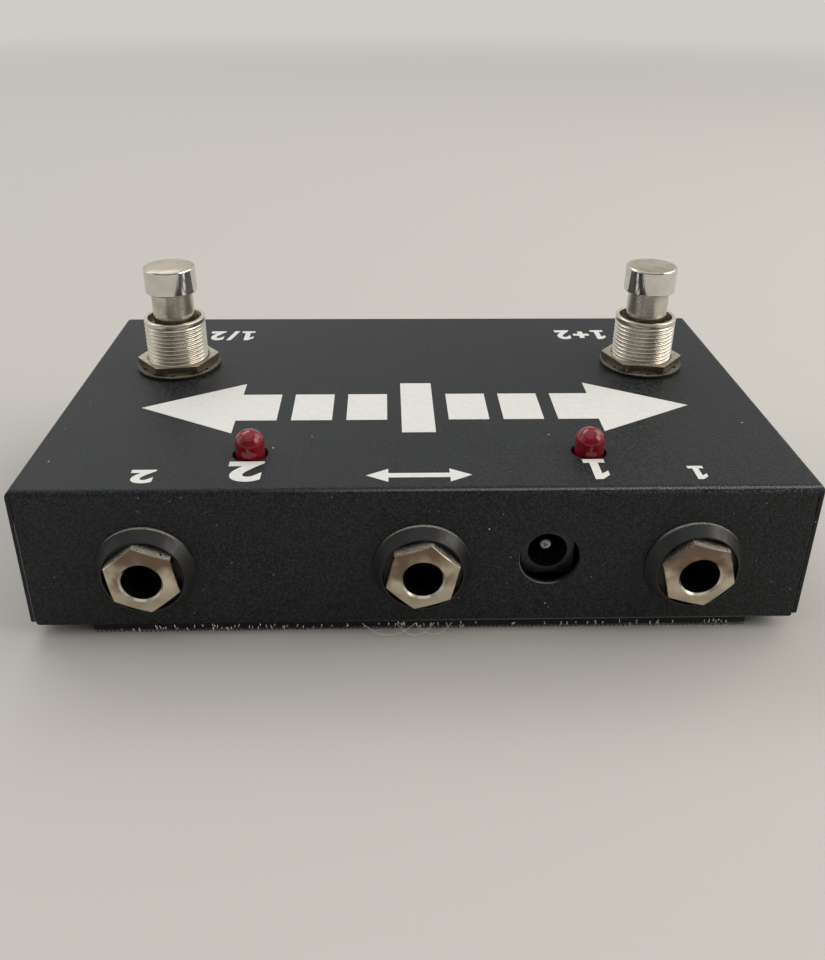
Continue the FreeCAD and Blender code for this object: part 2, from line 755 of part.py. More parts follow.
def switch_nut(height):
    """A hexagon nut with its lower corners chamfered, standing on Z = 0."""
    flare = cone("nut_across / 2", "nut_across / 2 + 2 * nut_chamfer", "nut_chamfer")
    rest = rod("nut_across / 2 + 2 * nut_chamfer", height + " - nut_chamfer", z="nut_chamfer")
    return cut(common(hexagon("nut_across", height), joined(flare, rest)), rod("bush_radius", height))


def switch_spring():
    """The return spring between the shoulder and the ledge."""
    height = size("travel") + size("spring_solid") - size("stop_gap")
    return coil(size("spring_mean"), size("spring_wire"), height, SPRING_TURNS)


def tooth_ring():
    """A washer with teeth round its hole."""
    hole = "(bush_radius + panel_gap)"
    slots = []
    for k in range(TEETH):
        slot = block(hole + " + tooth_length", "tooth_slot", "tooth_sheet", "0", "-tooth_slot / 2")
        turn = Rotation(Vector(0, 0, 1), 360.0 * k / TEETH)
        slots.append(place(joined(slot, rod("tooth_slot / 2", "tooth_sheet")), turn=turn))
    return cut(rod("tooth_radius", "tooth_sheet"), rod(hole, "tooth_sheet"), *slots)


def switch_frame():
    """The pressed frame: a plate under the backing nut and two legs down the case."""
    plate = centred("switch_wide + 2 * frame_sheet", "switch_deep", "frame_sheet", z="-" + BUSH_LOW)
    legs = []
    for sign in (-1, 1):
        x = "%d * (switch_wide + frame_sheet) / 2" % sign
        legs.append(centred("frame_sheet", "frame_leg", "frame_leg + frame_sheet", x,
                            z="-%s - frame_leg" % BUSH_LOW))
    hole = rod("bush_radius", "2 * frame_sheet", z="-%s - frame_sheet / 2" % BUSH_LOW)
    return cut(joined(plate, *legs), hole)


def switch_case():
    """The moulded case: a well for the shoulder and spring over a contact chamber."""
    outside = centred("switch_wide", "switch_deep", CASE_LOW + " - " + BUSH_LOW, z="-" + CASE_LOW)
    well = rod("shoulder_radius + well_gap", LEDGE + " - " + BUSH_LOW, z="-" + LEDGE)
    hole = rod("stem_radius + stem_gap", "2 * ledge_height", z="-%s - ledge_height / 2" % CHAMBER_TOP)
    chamber = centred("switch_wide - 2 * switch_wall", "switch_deep - 2 * switch_wall", "chamber_height",
                      z="-" + CASE_LOW)
    return cut(outside, well, hole, chamber)


def lug_places():
    """Signs of the six lugs across and along the switch."""
    for across in (-1, 1):
        for along in (-1, 0, 1):
            yield across, along


def switch_foot():
    """The terminal board that closes the case."""
    plate = centred("switch_wide", "switch_deep", "board_sheet_switch", z="-" + FOOT_LOW)
    slots = []
    for across, along in lug_places():
        x = "%d * lug_pitch_x / 2" % across
        y = "%d * lug_pitch_y" % along
        slots.append(centred("lug_width", "lug_sheet", "2 * board_sheet_switch", x, y,
                             "-%s - board_sheet_switch / 2" % FOOT_LOW))
    return cut(plate, *slots)


def switch_lugs():
    """Six solder lugs; the middle pair is the rocker's fulcrum."""
    lugs = []
    for across, along in lug_places():
        stand = "(pivot_height - axle_radius - axle_gap)" if along == 0 else "lug_stand"
        x = "%d * lug_pitch_x / 2" % across
        y = "%d * lug_pitch_y" % along
        blade = centred("lug_width", "lug_sheet", "lug_drop + board_sheet_switch + " + stand, x, y,
                        "-%s - lug_drop" % FOOT_LOW)
        eye_z = "-%s - lug_drop + 2 * lug_eye" % FOOT_LOW
        eye = rod("lug_eye", "2 * lug_sheet", x, y + " + lug_sheet", eye_z, Rotation(Vector(1, 0, 0), 90))
        lugs.append(cut(blade, eye))
    return together(*lugs)


def rocker_tilt():
    """The angle in degrees at which a blade lies on an outer lug."""
    drop = size("pivot_height") - size("lug_stand") - size("contact_gap") - size("blade_sheet") / 2
    return math.degrees(math.atan2(drop, size("lug_pitch_y") + size("lug_sheet") / 2))


def contact_rocker():
    """Two contact blades on one axle, drawn level round the axle."""
    length = "(switch_wide - 2 * switch_wall - 2 * axle_gap)"
    axle = rod("axle_radius", length, "-%s / 2" % length, turn=Rotation(Vector(0, 1, 0), 90))
    carrier = centred("lug_pitch_x", "2 * blade_width", "blade_sheet", z="-blade_sheet / 2")
    blades = []
    for sign in (-1, 1):
        x = "%d * lug_pitch_x / 2" % sign
        blades.append(centred("blade_width", "2 * (lug_pitch_y + blade_over)", "blade_sheet", x,
                              z="-blade_sheet / 2"))
    return joined(axle, carrier, *blades)


def make_switch(side, sign):
    """All pieces of one foot switch."""
    x = signed(sign, SWITCH_OUT)

    def keep(item, label, drop="0", turn=None):
        """Put a piece on the switch axis, below the cover's top face."""
        place(item, x, SWITCH_Y, "%s - (%s)" % (PANEL_TOP, drop), turn)
        sub_part(item, side + "_" + label)

    keep(turned(side + "_bushing", (
        ("neck_radius + guide_gap", "-" + BUSH_LOW),
        ("bush_radius", "-" + BUSH_LOW),
        ("bush_radius", "bush_rise - bush_chamfer"),
        ("bush_radius - bush_chamfer", "bush_rise"),
        ("bush_radius - bush_wall", "bush_rise"),
        ("bush_radius - bush_wall", "bush_rise - recess_depth"),
        ("neck_radius + guide_gap", "bush_rise - recess_depth"),
    )), "bushing")
    cap_low = "(bush_rise + travel + cap_stop)"
    cap_top = "(%s + cap_height)" % cap_low
    shoulder_low = "(%s + shoulder_height)" % SHOULDER_TOP
    stem_low = "(%s - pivot_height - axle_radius - travel - stem_clear)" % CASE_LOW
    keep(turned(side + "_button", (
        ("0", cap_top),
        ("cap_radius - cap_bevel", cap_top + " - cap_crown"),
        ("cap_radius", cap_top + " - cap_crown - cap_bevel"),
        ("cap_radius", cap_low),
        ("neck_radius", cap_low),
        ("neck_radius", "-" + SHOULDER_TOP),
        ("shoulder_radius", "-" + SHOULDER_TOP),
        ("shoulder_radius", "-" + shoulder_low),
        ("stem_radius", "-" + shoulder_low),
        ("stem_radius", "-" + stem_low),
        ("0", "-" + stem_low),
    )), "button")
    keep(plain_feature(switch_spring(), side + "_spring"), "return_spring", LEDGE + " - stop_gap / 2")
    nut_turn = Rotation(Vector(0, 0, 1), DRESS_NUT_TURNS[side])
    keep(switch_nut("nut_height"), "dress_nut", "-tooth_sheet", nut_turn)
    keep(tooth_ring(), "tooth_washer")
    keep(switch_nut("backing_height"), "backing_nut", "cover_sheet + backing_height")
    keep(switch_frame(), "switch_frame")
    keep(switch_case(), "switch_case")
    keep(switch_foot(), "terminal_board")
    keep(switch_lugs(), "solder_lugs")
    tilt = Rotation(Vector(1, 0, 0), rocker_tilt())
    keep(contact_rocker(), "contact_rocker", CASE_LOW + " - pivot_height", tilt)


# Sockets: drawn with Z outwards from the cover's front and Y up

OUTWARD = Rotation(Vector(1, 0, 0), 90)
THREAD_END = "(ferrule_depth + ring_gap + ring_sheet)"
PLUG_WAY = "(plug_bore + plug_gap)"
TIP_SIDE = "(%s + tip_side)" % PLUG_WAY
TIP_ROOT = "(%s + tip_behind)" % THREAD_END
JACK_DEEP = "(%s + tip_length + tip_room + jack_wall)" % TIP_ROOT


def jack_body():
    """The moulded jack body with its threaded boss, plug way and spring chamber."""
    box = centred("jack_wide", "2 * jack_half_high", JACK_DEEP + " - cover_sheet", z="-" + JACK_DEEP)
    boss = rod(BOSS, "2 * cover_sheet + boss_rise", z="-2 * cover_sheet")
    thread = rod(SLEEVE, THREAD_END + " + boss_rise", z="-" + THREAD_END)
    way = rod(PLUG_WAY, JACK_DEEP + " - jack_wall - cover_sheet", z="jack_wall - " + JACK_DEEP)
    chamber_wide = "(%s + tip_room)" % TIP_SIDE
    chamber_side = "(tip_width / 2 + tip_gap)"
    chamber = block(chamber_wide, "2 * " + chamber_side, "tip_length + 4 * tip_room", "-" + chamber_wide,
                    "-" + chamber_side, "-%s - tip_length - tip_room" % TIP_ROOT)
    slot = block("2 * tip_room", "jack_half_high + " + chamber_side, "2 * tip_room", "-" + chamber_wide,
                 "-" + chamber_side, "-" + TIP_ROOT)
    ring_slot = centred("pin_width", "jack_half_high", "ring_sheet", "0", "jack_half_high / 2",
                        "-" + THREAD_END)
    return cut(joined(box, boss), thread, way, chamber, slot, ring_slot)


def cone_washer(label):
    """The conical washer with a bowl for the nut."""
    hole = BOSS + " + washer_gap"
    bowl = "ferrule_across / sqrt(3) + bowl_gap"
    lip = bowl + " + washer_lip"
    return turned(label, (
        (hole, "0"),
        (lip + " + washer_spread", "0"),
        (lip + " + washer_spread", "washer_foot"),
        (lip, "washer_height"),
        (bowl, "washer_height"),
        (bowl, "washer_floor"),
        (hole, "washer_floor"),
    ))


def ferrule_nut():
    """A hexagon head that rises to its mouth, on a threaded sleeve, bored for the plug."""
    corner = "ferrule_across / sqrt(3)"
    mouth = "(plug_bore + bore_flare + ferrule_rim)"
    height = "(ferrule_head + ferrule_rise)"
    face = "(washer_floor + %s)" % height
    foot = "%s + ferrule_head * (%s - %s) / ferrule_rise" % (corner, corner, mouth)
    dome = cone(foot, mouth, height, z="washer_floor")
    head = common(hexagon("ferrule_across", height, "washer_floor"), dome)
    sleeve = rod(SLEEVE, "ferrule_depth + washer_floor + ferrule_head", z="-ferrule_depth")
    bore = rod("plug_bore", "ferrule_depth + " + face, z="-ferrule_depth")
    flare = cone("plug_bore", "plug_bore + bore_flare", "bore_flare", z=face + " - bore_flare")
    return cut(joined(head, sleeve), bore, flare)


def jack_terminals():
    """The ground ring and the tip terminal, each with a pin through the circuit board."""
    pin_top = "(jack_half_high + board_sheet + pin_end)"
    ring = rod(SLEEVE, "ring_sheet", z="-" + THREAD_END)
    ring_bore = "(plug_bore + ring_clear)"
    bore = rod(ring_bore, "ring_sheet", z="-" + THREAD_END)
    tab = centred("pin_width", "%s - %s" % (pin_top, ring_bore), "ring_sheet", "0",
                  "(%s + %s) / 2" % (pin_top, ring_bore), "-" + THREAD_END)
    root = block("pin_sheet", "tip_width / 2 + " + pin_top, "pin_width", "-%s - pin_sheet / 2" % TIP_SIDE,
                 "-tip_width / 2", "tip_gap - " + TIP_ROOT)
    return together(joined(cut(ring, bore), tab), root)


# Where along its length the tip spring bends, and where it touches the plug
TIP_BEND = 0.6
TIP_TOUCH = 0.85


def tip_spring(label):
    """The bent tip spring, which runs from its root against the way that Z points."""
    body = new_body(label)
    side = new_sketch(body, "XZ_Plane")
    reach = "(tip_side + tip_bump)"
    middle = (
        ("0", "0"),
        ("tip_sheet", "-%g * tip_length" % TIP_BEND),
        (reach, "-%g * tip_length" % TIP_TOUCH),
        (reach + " - 2 * tip_sheet", "-tip_length"),
    )
    inner = [("(%s) + tip_sheet / 2" % x, z) for x, z in middle]
    outer = [("(%s) - tip_sheet / 2" % x, z) for x, z in reversed(middle)]
    outline(side, inner + outer)
    pad(body, side, "tip_width", both_ways=True)
    return body


def make_jack(side, sign):
    """All pieces of one jack socket."""
    x = "(board_shift + %d * %s)" % (sign, JACK_OUT)

    def keep(item, label, turn=OUTWARD):
        """Put a piece on the jack axis at the cover's front."""
        place(item, x, FRONT, JACK_Z, turn)
        sub_part(item, side + "_" + label)

    keep(jack_body(), "jack_body")
    keep(cone_washer(side + "_cone_washer"), "cone_washer")
    nut_turn = OUTWARD.multiply(Rotation(Vector(0, 0, 1), FERRULE_NUT_TURNS[side]))
    keep(ferrule_nut(), "ferrule_nut", nut_turn)
    keep(jack_terminals(), "jack_terminals")
    spring = tip_spring(side + "_tip_spring")
    place(spring, "%s - %s" % (x, TIP_SIDE), "%s + %s" % (FRONT, TIP_ROOT), JACK_Z, OUTWARD)
    sub_part(spring, side + "_tip_spring")
    board_holes.append((x, "%s + %s - ring_sheet / 2" % (FRONT, THREAD_END)))
    pin_y = "%s + %s - tip_gap - pin_width / 2" % (FRONT, TIP_ROOT)
    board_holes.append(("%s - %s" % (x, TIP_SIDE), pin_y))


# Where along its length the power spring bends, and where it touches the plug
LEAF_BEND = 0.5
LEAF_TOUCH = 0.8


def make_power_socket():
    """The power socket with its centre pin and side spring."""
    half_wide = "(power_bore + power_wall)"
    bore_end = "(power_set_back + power_bore_depth)"
    pin_end = "(%s + power_pin_root)" % bore_end
    body_end = "(%s + power_back)" % pin_end
    box = block("2 * " + half_wide, "%s + power_up" % half_wide, body_end + " - power_set_back",
                "-" + half_wide, "-" + half_wide, "-" + body_end)
    bore = rod("power_bore", "power_bore_depth", z="-" + bore_end)
    pin_hole = rod("power_pin_neck", "power_pin_root + power_bore", z="-" + pin_end)
    slot = block("leaf_width + 2 * tip_gap", half_wide + " + leaf_sheet", "leaf_length + 2 * leaf_sheet",
                 "-leaf_width / 2 - tip_gap", "-%s - leaf_sheet" % half_wide, "-%s - leaf_sheet" % bore_end)
    body = place(cut(box, bore, pin_hole, slot), POWER_X, FRONT, POWER_Z, OUTWARD)
    sub_part(body, "power_socket")

    tip = "(power_set_back + power_pin_set_back)"
    pin = turned("power_pin", (
        ("0", "-" + pin_end),
        ("power_pin_neck", "-" + pin_end),
        ("power_pin_neck", "-" + bore_end),
        ("power_pin", "-" + bore_end),
        ("power_pin", "-%s - power_pin / 2" % tip),
        ("power_pin / 2", "-" + tip),
        ("0", "-" + tip),
    ))
    sub_part(place(pin, POWER_X, FRONT, POWER_Z, OUTWARD), "power_pin")

    leaf = new_body("power_spring")
    side = new_sketch(leaf, "YZ_Plane")
    middle = (
        ("0", "0"),
        ("0", "%g * leaf_length" % LEAF_BEND),
        ("leaf_side + leaf_bump", "%g * leaf_length" % LEAF_TOUCH),
        ("leaf_sheet", "leaf_length"),
    )
    inner = [("(%s) + leaf_sheet / 2" % y, z) for y, z in middle]
    outer = [("(%s) - leaf_sheet / 2" % y, z) for y, z in reversed(middle)]
    outline(side, inner + outer)
    pad(leaf, side, "leaf_width", both_ways=True)
    leaf_z = POWER_Z + " - power_bore - leaf_side"
    place(leaf, POWER_X, "%s + %s" % (FRONT, bore_end), leaf_z, OUTWARD)
    sub_part(leaf, "power_spring")


def make_lamps():
    """Two round lamps that stand through the cover on square wires."""
    wires = []
    for side, sign in SIDES:
        x = "(board_shift + %d * %s)" % (sign, LAMP_OUT)
        dome = doc.addObject("Part::Sphere", "dome")
        bind(dome, Radius="lamp_radius")
        place(dome, z="lamp_height - lamp_radius")
        barrel = rod("lamp_radius", "lamp_height - lamp_radius")
        foot = rod("lamp_radius + lamp_rim", "lamp_rim_height")
        lamp = place(joined(dome, barrel, foot), x, LAMP_Y, BOARD_TOP + " + lamp_stand")
        sub_part(lamp, side + "_lamp")
        for leg in (-1, 1):
            leg_x = "%s + %d * wire_pitch / 2" % (x, leg)
            wires.append(centred("wire_side", "wire_side", "lamp_stand + board_sheet + pin_end",
                                 leg_x, LAMP_Y, BOARD_UNDER + " - pin_end"))
            board_holes.append((leg_x, LAMP_Y))
    sub_part(together(*wires), "lamp_wires")


# Circuit board, small parts and battery

LEAD_Y = "(cover_sheet + board_front_gap + board_deep - pad_inset - case_depth / 2)"


def make_small_parts():
    """Resistors on the board; capacitors and transistors hang under it."""
    resistors = []
    for k in range(RESISTORS):
        x = "board_shift + %g * resistor_step" % (k - (RESISTORS - 1) / 2)
        y = "%s + resistor_inset" % FRONT
        level = "%s + resistor_radius" % BOARD_TOP
        along = Rotation(Vector(1, 0, 0), -90)
        barrel_y = "%s + (resistor_pitch - resistor_length) / 2" % y
        barrel = rod("resistor_radius", "resistor_length", x, barrel_y, level, along)
        wire = rod("resistor_leg", "resistor_pitch", x, y, level, along)
        legs = []
        for leg_y in (y + " + wire_side", y + " + resistor_pitch - wire_side"):
            legs.append(centred("wire_side", "wire_side", "resistor_radius", x, leg_y, BOARD_TOP))
        resistors.append(joined(barrel, wire, *legs))
    sub_part(together(*resistors), "resistors")

    capacitors = []
    for k in range(CAPACITORS):
        x = "board_shift - %s / 2 + %g * capacitor_pitch" % (JACK_OUT, k - (CAPACITORS - 1) / 2)
        low = BOARD_UNDER + " - capacitor_height"
        capacitors.append(rod("capacitor_radius", "capacitor_height", x, FRONT + " + capacitor_inset", low))
    sub_part(together(*capacitors), "capacitors")

    transistors = []
    for k in range(TRANSISTORS):
        x = "board_shift - %s / 2 + %g * capacitor_pitch" % (JACK_OUT, k - (TRANSISTORS - 1) / 2)
        y = FRONT + " + transistor_inset"
        low = "%s - transistor_leg - transistor_height" % BOARD_UNDER
        round_side = rod("transistor_radius", "transistor_height", x, y, low)
        flat_y = "%s + (transistor_radius - transistor_flat) / 2" % y
        flat_side = centred("2 * transistor_radius", "transistor_radius + transistor_flat",
                            "transistor_height", x, flat_y, low)
        legs = []
        for leg in (-1, 0, 1):
            leg_x = "%s + %d * wire_pitch / 2" % (x, leg)
            legs.append(centred("wire_side", "wire_side", "transistor_leg + wire_side", leg_x, y,
                                BOARD_UNDER + " - transistor_leg - wire_side"))
        transistors.append(joined(common(round_side, flat_side), *legs))
    sub_part(together(*transistors), "transistors")


def make_board():
    """The circuit board over the sockets, with a hole for every pin and lead."""
    length = "2 * (%s + jack_wide / 2 + board_edge)" % JACK_OUT
    plate = centred(length, "board_deep", "board_sheet", "board_shift",
                    "%s + cover_sheet + board_front_gap + board_deep / 2" % FRONT, BOARD_UNDER)
    holes = []
    for x, y in board_holes:
        holes.append(rod("pin_hole", "2 * board_sheet", x, y, BOARD_UNDER + " - board_sheet / 2"))
    sub_part(cut(plate, together(*holes)), "circuit_board")


BATTERY_START = "(switch_wide / 2 + frame_sheet + battery_gap - %s)" % SWITCH_OUT
BATTERY_END = "(%s + battery_length)" % BATTERY_START
BATTERY_Y = "(case_depth / 2 - cover_sheet - battery_back_gap - battery_width / 2)"
STUD_Z = "(%s + battery_height / 2)" % BASE_TOP


def make_battery():
    """The battery, its snap connector and the foam that holds it down."""
    body = new_body("battery")
    side = new_sketch(body, "YZ_Plane")
    rectangle(side, "-battery_width / 2", "battery_width / 2", "0", "battery_height")
    solid = pad(body, side, "battery_length")
    rounded(body, solid, "battery_round", lambda edge, middle: runs_along(edge, Vector(1, 0, 0)))
    studs = new_sketch(body, "YZ_Plane", "battery_length")
    for sign in (-1, 1):
        ring_curve(studs, "%d * stud_pitch / 2" % sign, "battery_height / 2", "stud_radius")
    pad(body, studs, "stud_height")
    place(body, BATTERY_START, BATTERY_Y, BASE_TOP)
    sub_part(body, "battery")

    across = Rotation(Vector(0, 1, 0), 90)
    start = "(%s + snap_gap)" % BATTERY_END
    snap_wide = "stud_pitch + 2 * (stud_radius + snap_margin)"
    shell = centred("snap_sheet", snap_wide, "2 * (stud_radius + snap_edge)", "%s + snap_sheet / 2" % start,
                    BATTERY_Y, STUD_Z + " - stud_radius - snap_edge")
    wells = []
    for sign in (-1, 1):
        y = "%s + %d * stud_pitch / 2" % (BATTERY_Y, sign)
        wells.append(rod("stud_radius + snap_gap / 2", "stud_height", start, y, STUD_Z, across))
    sub_part(cut(shell, *wells), "battery_snap")

    foam_height = "%s - %s - battery_height" % (PANEL_UNDER, BASE_TOP)
    foam = centred("battery_length - 2 * foam_margin", "battery_width - 2 * foam_margin", foam_height,
                   BATTERY_START + " + battery_length / 2", BATTERY_Y, BASE_TOP + " + battery_height")
    sub_part(foam, "foam_pad")


def make_leads():
    """Hook-up wires from the switches and the battery to the back edge of the board."""
    front = -size("case_depth") / 2
    board_back = front + size("cover_sheet") + size("board_front_gap") + size("board_deep")
    pads_y = board_back - size("pad_inset")
    jack_z = size("tape_rise") + size("case_rise") / 2 - size("jack_sink")
    board_under = jack_z + size("jack_half_high")
    board_top = board_under + size("board_sheet")
    panel_top = size("tape_rise") + size("case_rise")
    bushing = size("cover_sheet") + size("backing_height") + size("frame_sheet")
    shoulder_end = bushing + size("stop_gap") + size("shoulder_height")
    spring_end = shoulder_end + size("travel") + size("spring_solid")
    foot_low = spring_end + size("ledge_height") + size("chamber_height") + size("board_sheet_switch")
    lug_level = panel_top - foot_low - size("lug_drop") / 2
    switch_y = front + size("switch_inset_front")
    case_front = switch_y - size("switch_deep") / 2
    lug_front = switch_y - size("lug_pitch_y") - size("lug_sheet") / 2
    outer = size("lug_pitch_x") / 2
    beside = outer - size("lug_width") / 2 - size("lead_radius")
    switch_out = size("case_width") / 2 - size("switch_inset_side")
    run = size("lead_run")
    for side, sign in SIDES:
        axis = sign * switch_out
        solids = []
        for offset, start_y in ((-outer, lug_front), (outer, lug_front), (-beside, switch_y)):
            x = axis + offset
            points = [
                Vector(x, start_y, lug_level),
                Vector(x, case_front - run, lug_level),
                Vector(x, case_front - run - size("lead_lean"), board_under - size("lead_low")),
                Vector(x, pads_y, board_under - size("lead_high")),
                Vector(x, pads_y, board_top),
            ]
            solids.append(lead(points, side + " switch lead"))
            board_holes.append(("%.6f" % x, LEAD_Y))
        label = side + "_switch_leads"
        sub_part(plain_feature(Part.makeCompound(solids), label), label)

    frame_side = switch_out - size("switch_wide") / 2 - size("frame_sheet")
    battery_end = size("battery_gap") - frame_side + size("battery_length")
    snap_x = battery_end + size("snap_gap") + size("snap_sheet") / 2
    battery_back = size("case_depth") / 2 - size("cover_sheet") - size("battery_back_gap")
    middle_y = battery_back - size("battery_width") / 2
    snap_front = middle_y - size("stud_pitch") / 2 - size("stud_radius") - size("snap_margin")
    stud_level = size("tape_rise") + size("base_sheet") + size("battery_height") / 2
    solids = []
    for sign in (-1, 1):
        start_x = snap_x + sign * size("snap_lead_pitch") / 2
        end_x = start_x - size("snap_lead_aside")
        points = [
            Vector(start_x, snap_front, stud_level),
            Vector(start_x, snap_front - size("snap_lead_run"), stud_level),
            Vector(end_x, pads_y, board_under - size("snap_lead_high")),
            Vector(end_x, pads_y, board_top),
        ]
        solids.append(lead(points, "battery lead"))
        board_holes.append(("%.6f" % end_x, LEAD_Y))
    sub_part(plain_feature(Part.makeCompound(solids), "battery_leads"), "battery_leads")


make_cover()
make_base()
make_screws()
make_brackets()
make_tapes()
for side_name, side_sign in SIDES:
    make_switch(side_name, side_sign)
for side_name, side_sign in JACKS:
    make_jack(side_name, side_sign)
make_power_socket()
make_lamps()
make_small_parts()
make_battery()
make_leads()
make_board()
doc.recompute()

for item in doc.Objects:
    if "Invalid" in item.State or "Error" in item.State:
        raise ValueError("%s (%s) did not build" % (item.Name, item.Label))
for item in parts:
    if item.Shape.isNull() or not item.Shape.isValid() or not item.Shape.Solids:
        raise ValueError("%s has no sound shape" % item.Label)

os.makedirs("parts", exist_ok=True)
for item in parts:
    item.Shape.exportStep(os.path.join("parts", item.Label + ".step"))
print("%d sub-parts written" % len(parts))
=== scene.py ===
"""Looks of a two-button foot selector box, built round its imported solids.

Each class dresses one sub-assembly. Solids whose shape is right keep their mesh and get their
finish; what shows most is made again as a finer mesh in the same place. Sizes are millimetres
in the box's own frame, and a mesh turns to metres when it is done.
"""

from __future__ import annotations

import logging
import math
from dataclasses import dataclass
from enum import Enum
from functools import reduce
from random import Random
from typing import Any, Callable, Iterable, Sequence

import bmesh
import bpy
from mathutils import Matrix, Vector

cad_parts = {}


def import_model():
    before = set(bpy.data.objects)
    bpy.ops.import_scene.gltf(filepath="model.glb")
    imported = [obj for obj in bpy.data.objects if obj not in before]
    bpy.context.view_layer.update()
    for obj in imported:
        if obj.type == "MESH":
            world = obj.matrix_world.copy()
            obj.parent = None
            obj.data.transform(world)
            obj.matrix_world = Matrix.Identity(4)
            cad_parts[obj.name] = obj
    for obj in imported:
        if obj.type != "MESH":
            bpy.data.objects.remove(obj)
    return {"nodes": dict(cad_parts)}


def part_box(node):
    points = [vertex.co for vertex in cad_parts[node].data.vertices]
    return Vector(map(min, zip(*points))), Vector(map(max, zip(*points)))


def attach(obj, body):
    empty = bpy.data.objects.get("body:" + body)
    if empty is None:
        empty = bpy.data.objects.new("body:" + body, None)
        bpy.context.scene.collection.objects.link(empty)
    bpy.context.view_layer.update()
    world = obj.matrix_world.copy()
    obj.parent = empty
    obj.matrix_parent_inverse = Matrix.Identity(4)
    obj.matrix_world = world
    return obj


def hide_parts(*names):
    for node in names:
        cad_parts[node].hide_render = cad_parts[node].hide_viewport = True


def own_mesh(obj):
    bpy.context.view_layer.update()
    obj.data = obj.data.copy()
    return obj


LOG = logging.getLogger("foot_selector")
MM = 0.001
FULL_TURN = 2 * math.pi
TINY = 1e-6
BEVEL_STEPS = 3
WELD = 0.001
FLAT_WITHIN = math.radians(0.5)

Piece = bpy.types.Object
Shape = bmesh.types.BMesh
Tree = bpy.types.NodeTree
Node = bpy.types.Node
Socket = bpy.types.NodeSocket
Point = tuple[float, float]
Place = tuple[float, float, float]
Height = float | Callable[[float], float]
Ring = tuple[float | None, Height]


class Side(Enum):
    """Where a repeated sub-assembly sits, seen from the socket side."""

    LEFT = "left"
    MIDDLE = "middle"
    RIGHT = "right"


class Body(Enum):
    """The moving bodies that new pieces ride on."""

    BOX = "box"
    LEFT_BUTTON = "left_button"
    RIGHT_BUTTON = "right_button"


# Nodes and colours


def linear(colour: str) -> tuple[float, float, float, float]:
    """Turn an sRGB hex colour to the linear values that shaders take.

    Args:
        colour: Six hex digits after a hash sign.

    Returns:
        Red, green, blue and full opacity.
    """
    channels = []
    for start in (1, 3, 5):
        value = int(colour[start:start + 2], 16) / 255
        channels.append(value / 12.92 if value <= 0.04045 else ((value + 0.055) / 1.055) ** 2.4)
    return (channels[0], channels[1], channels[2], 1.0)


def feed(tree: Tree, node: Node, inputs: dict[str | int, Any]) -> None:
    """Set or link a node's inputs.

    Args:
        tree: The shader or geometry tree.
        node: The node.
        inputs: For each input, by name or number, a value or the output that feeds it.
    """
    for key, value in inputs.items():
        if isinstance(value, Socket):
            tree.links.new(value, node.inputs[key])
        else:
            node.inputs[key].default_value = value


def add_node(
    tree: Tree,
    kind: str,
    settings: dict[str, Any] | None = None,
    inputs: dict[str | int, Any] | None = None,
) -> Node:
    """Add one node to a tree.

    Args:
        tree: The shader or geometry tree.
        kind: Type name of the node.
        settings: Properties of the node itself.
        inputs: For each input, by name or number, a value or the output that feeds it.

    Returns:
        The node.
    """
    node = tree.nodes.new(kind)
    for name, value in (settings or {}).items():
        setattr(node, name, value)
    feed(tree, node, inputs or {})
    return node


@dataclass(frozen=True)
class Wiring:
    """The sums that shader and geometry trees share.

    Attributes:
        tree: The tree.
    """

    tree: Tree

    def maths(self, operation: str, first: Any, second: Any = 0.0) -> Socket:
        """Add one sum and give its result."""
        inputs = {0: first, 1: second}
        return add_node(self.tree, "ShaderNodeMath", {"operation": operation}, inputs).outputs[0]

    def total(self, *terms: Any) -> Socket:
        """Add values up."""
        return reduce(lambda first, second: self.maths("ADD", first, second), terms)

    def product(self, *factors: Any) -> Socket:
        """Multiply values."""
        return reduce(lambda first, second: self.maths("MULTIPLY", first, second), factors)

    def ramp(
        self, value: Any, low: Any, high: Any, first: float = 0.0, last: float = 1.0,
    ) -> Socket:
        """Map a value smoothly from one range to another, with both ends held.

        Args:
            value: The value.
            low: Value that gives first.
            high: Value that gives last.
            first: Result at low.
            last: Result at high.

        Returns:
            The mapped value.
        """
        inputs = {
            "Value": value, "From Min": low, "From Max": high, "To Min": first, "To Max": last}
        smooth = {"interpolation_type": "SMOOTHSTEP"}
        return add_node(self.tree, "ShaderNodeMapRange", smooth, inputs).outputs["Result"]

    def mixed(self, share: Any, first: Any, second: Any) -> Socket:
        """Mix two colours.

        Args:
            share: How much of the second, a number or an output.
            first: First colour, as hex or an output.
            second: Second colour.

        Returns:
            The mixed colour.
        """
        pair = [linear(item) if isinstance(item, str) else item for item in (first, second)]
        inputs = {0: share, 6: pair[0], 7: pair[1]}
        return add_node(self.tree, "ShaderNodeMix", {"data_type": "RGBA"}, inputs).outputs[2]

    def axes(self, vector: Socket) -> Sequence[Socket]:
        """Split a vector into X, Y and Z."""
        return list(add_node(self.tree, "ShaderNodeSeparateXYZ", inputs={0: vector}).outputs)


# Meshes


def arc(middle: Point, radius: float, start: float, end: float, steps: int = 6) -> list[Point]:
    """Give points along an arc of an outline.

    Args:
        middle: Centre of the arc, as radius and height.
        radius: Radius of the arc.
        start: First angle in degrees; 0 points outwards and 90 up.
        end: Last angle.
        steps: Stretches along the arc.

    Returns:
        The points from first to last.
    """
    points = []
    for k in range(steps + 1):
        angle = math.radians(start + (end - start) * k / steps)
        points.append((middle[0] + radius * math.cos(angle), middle[1] + radius * math.sin(angle)))
    return points


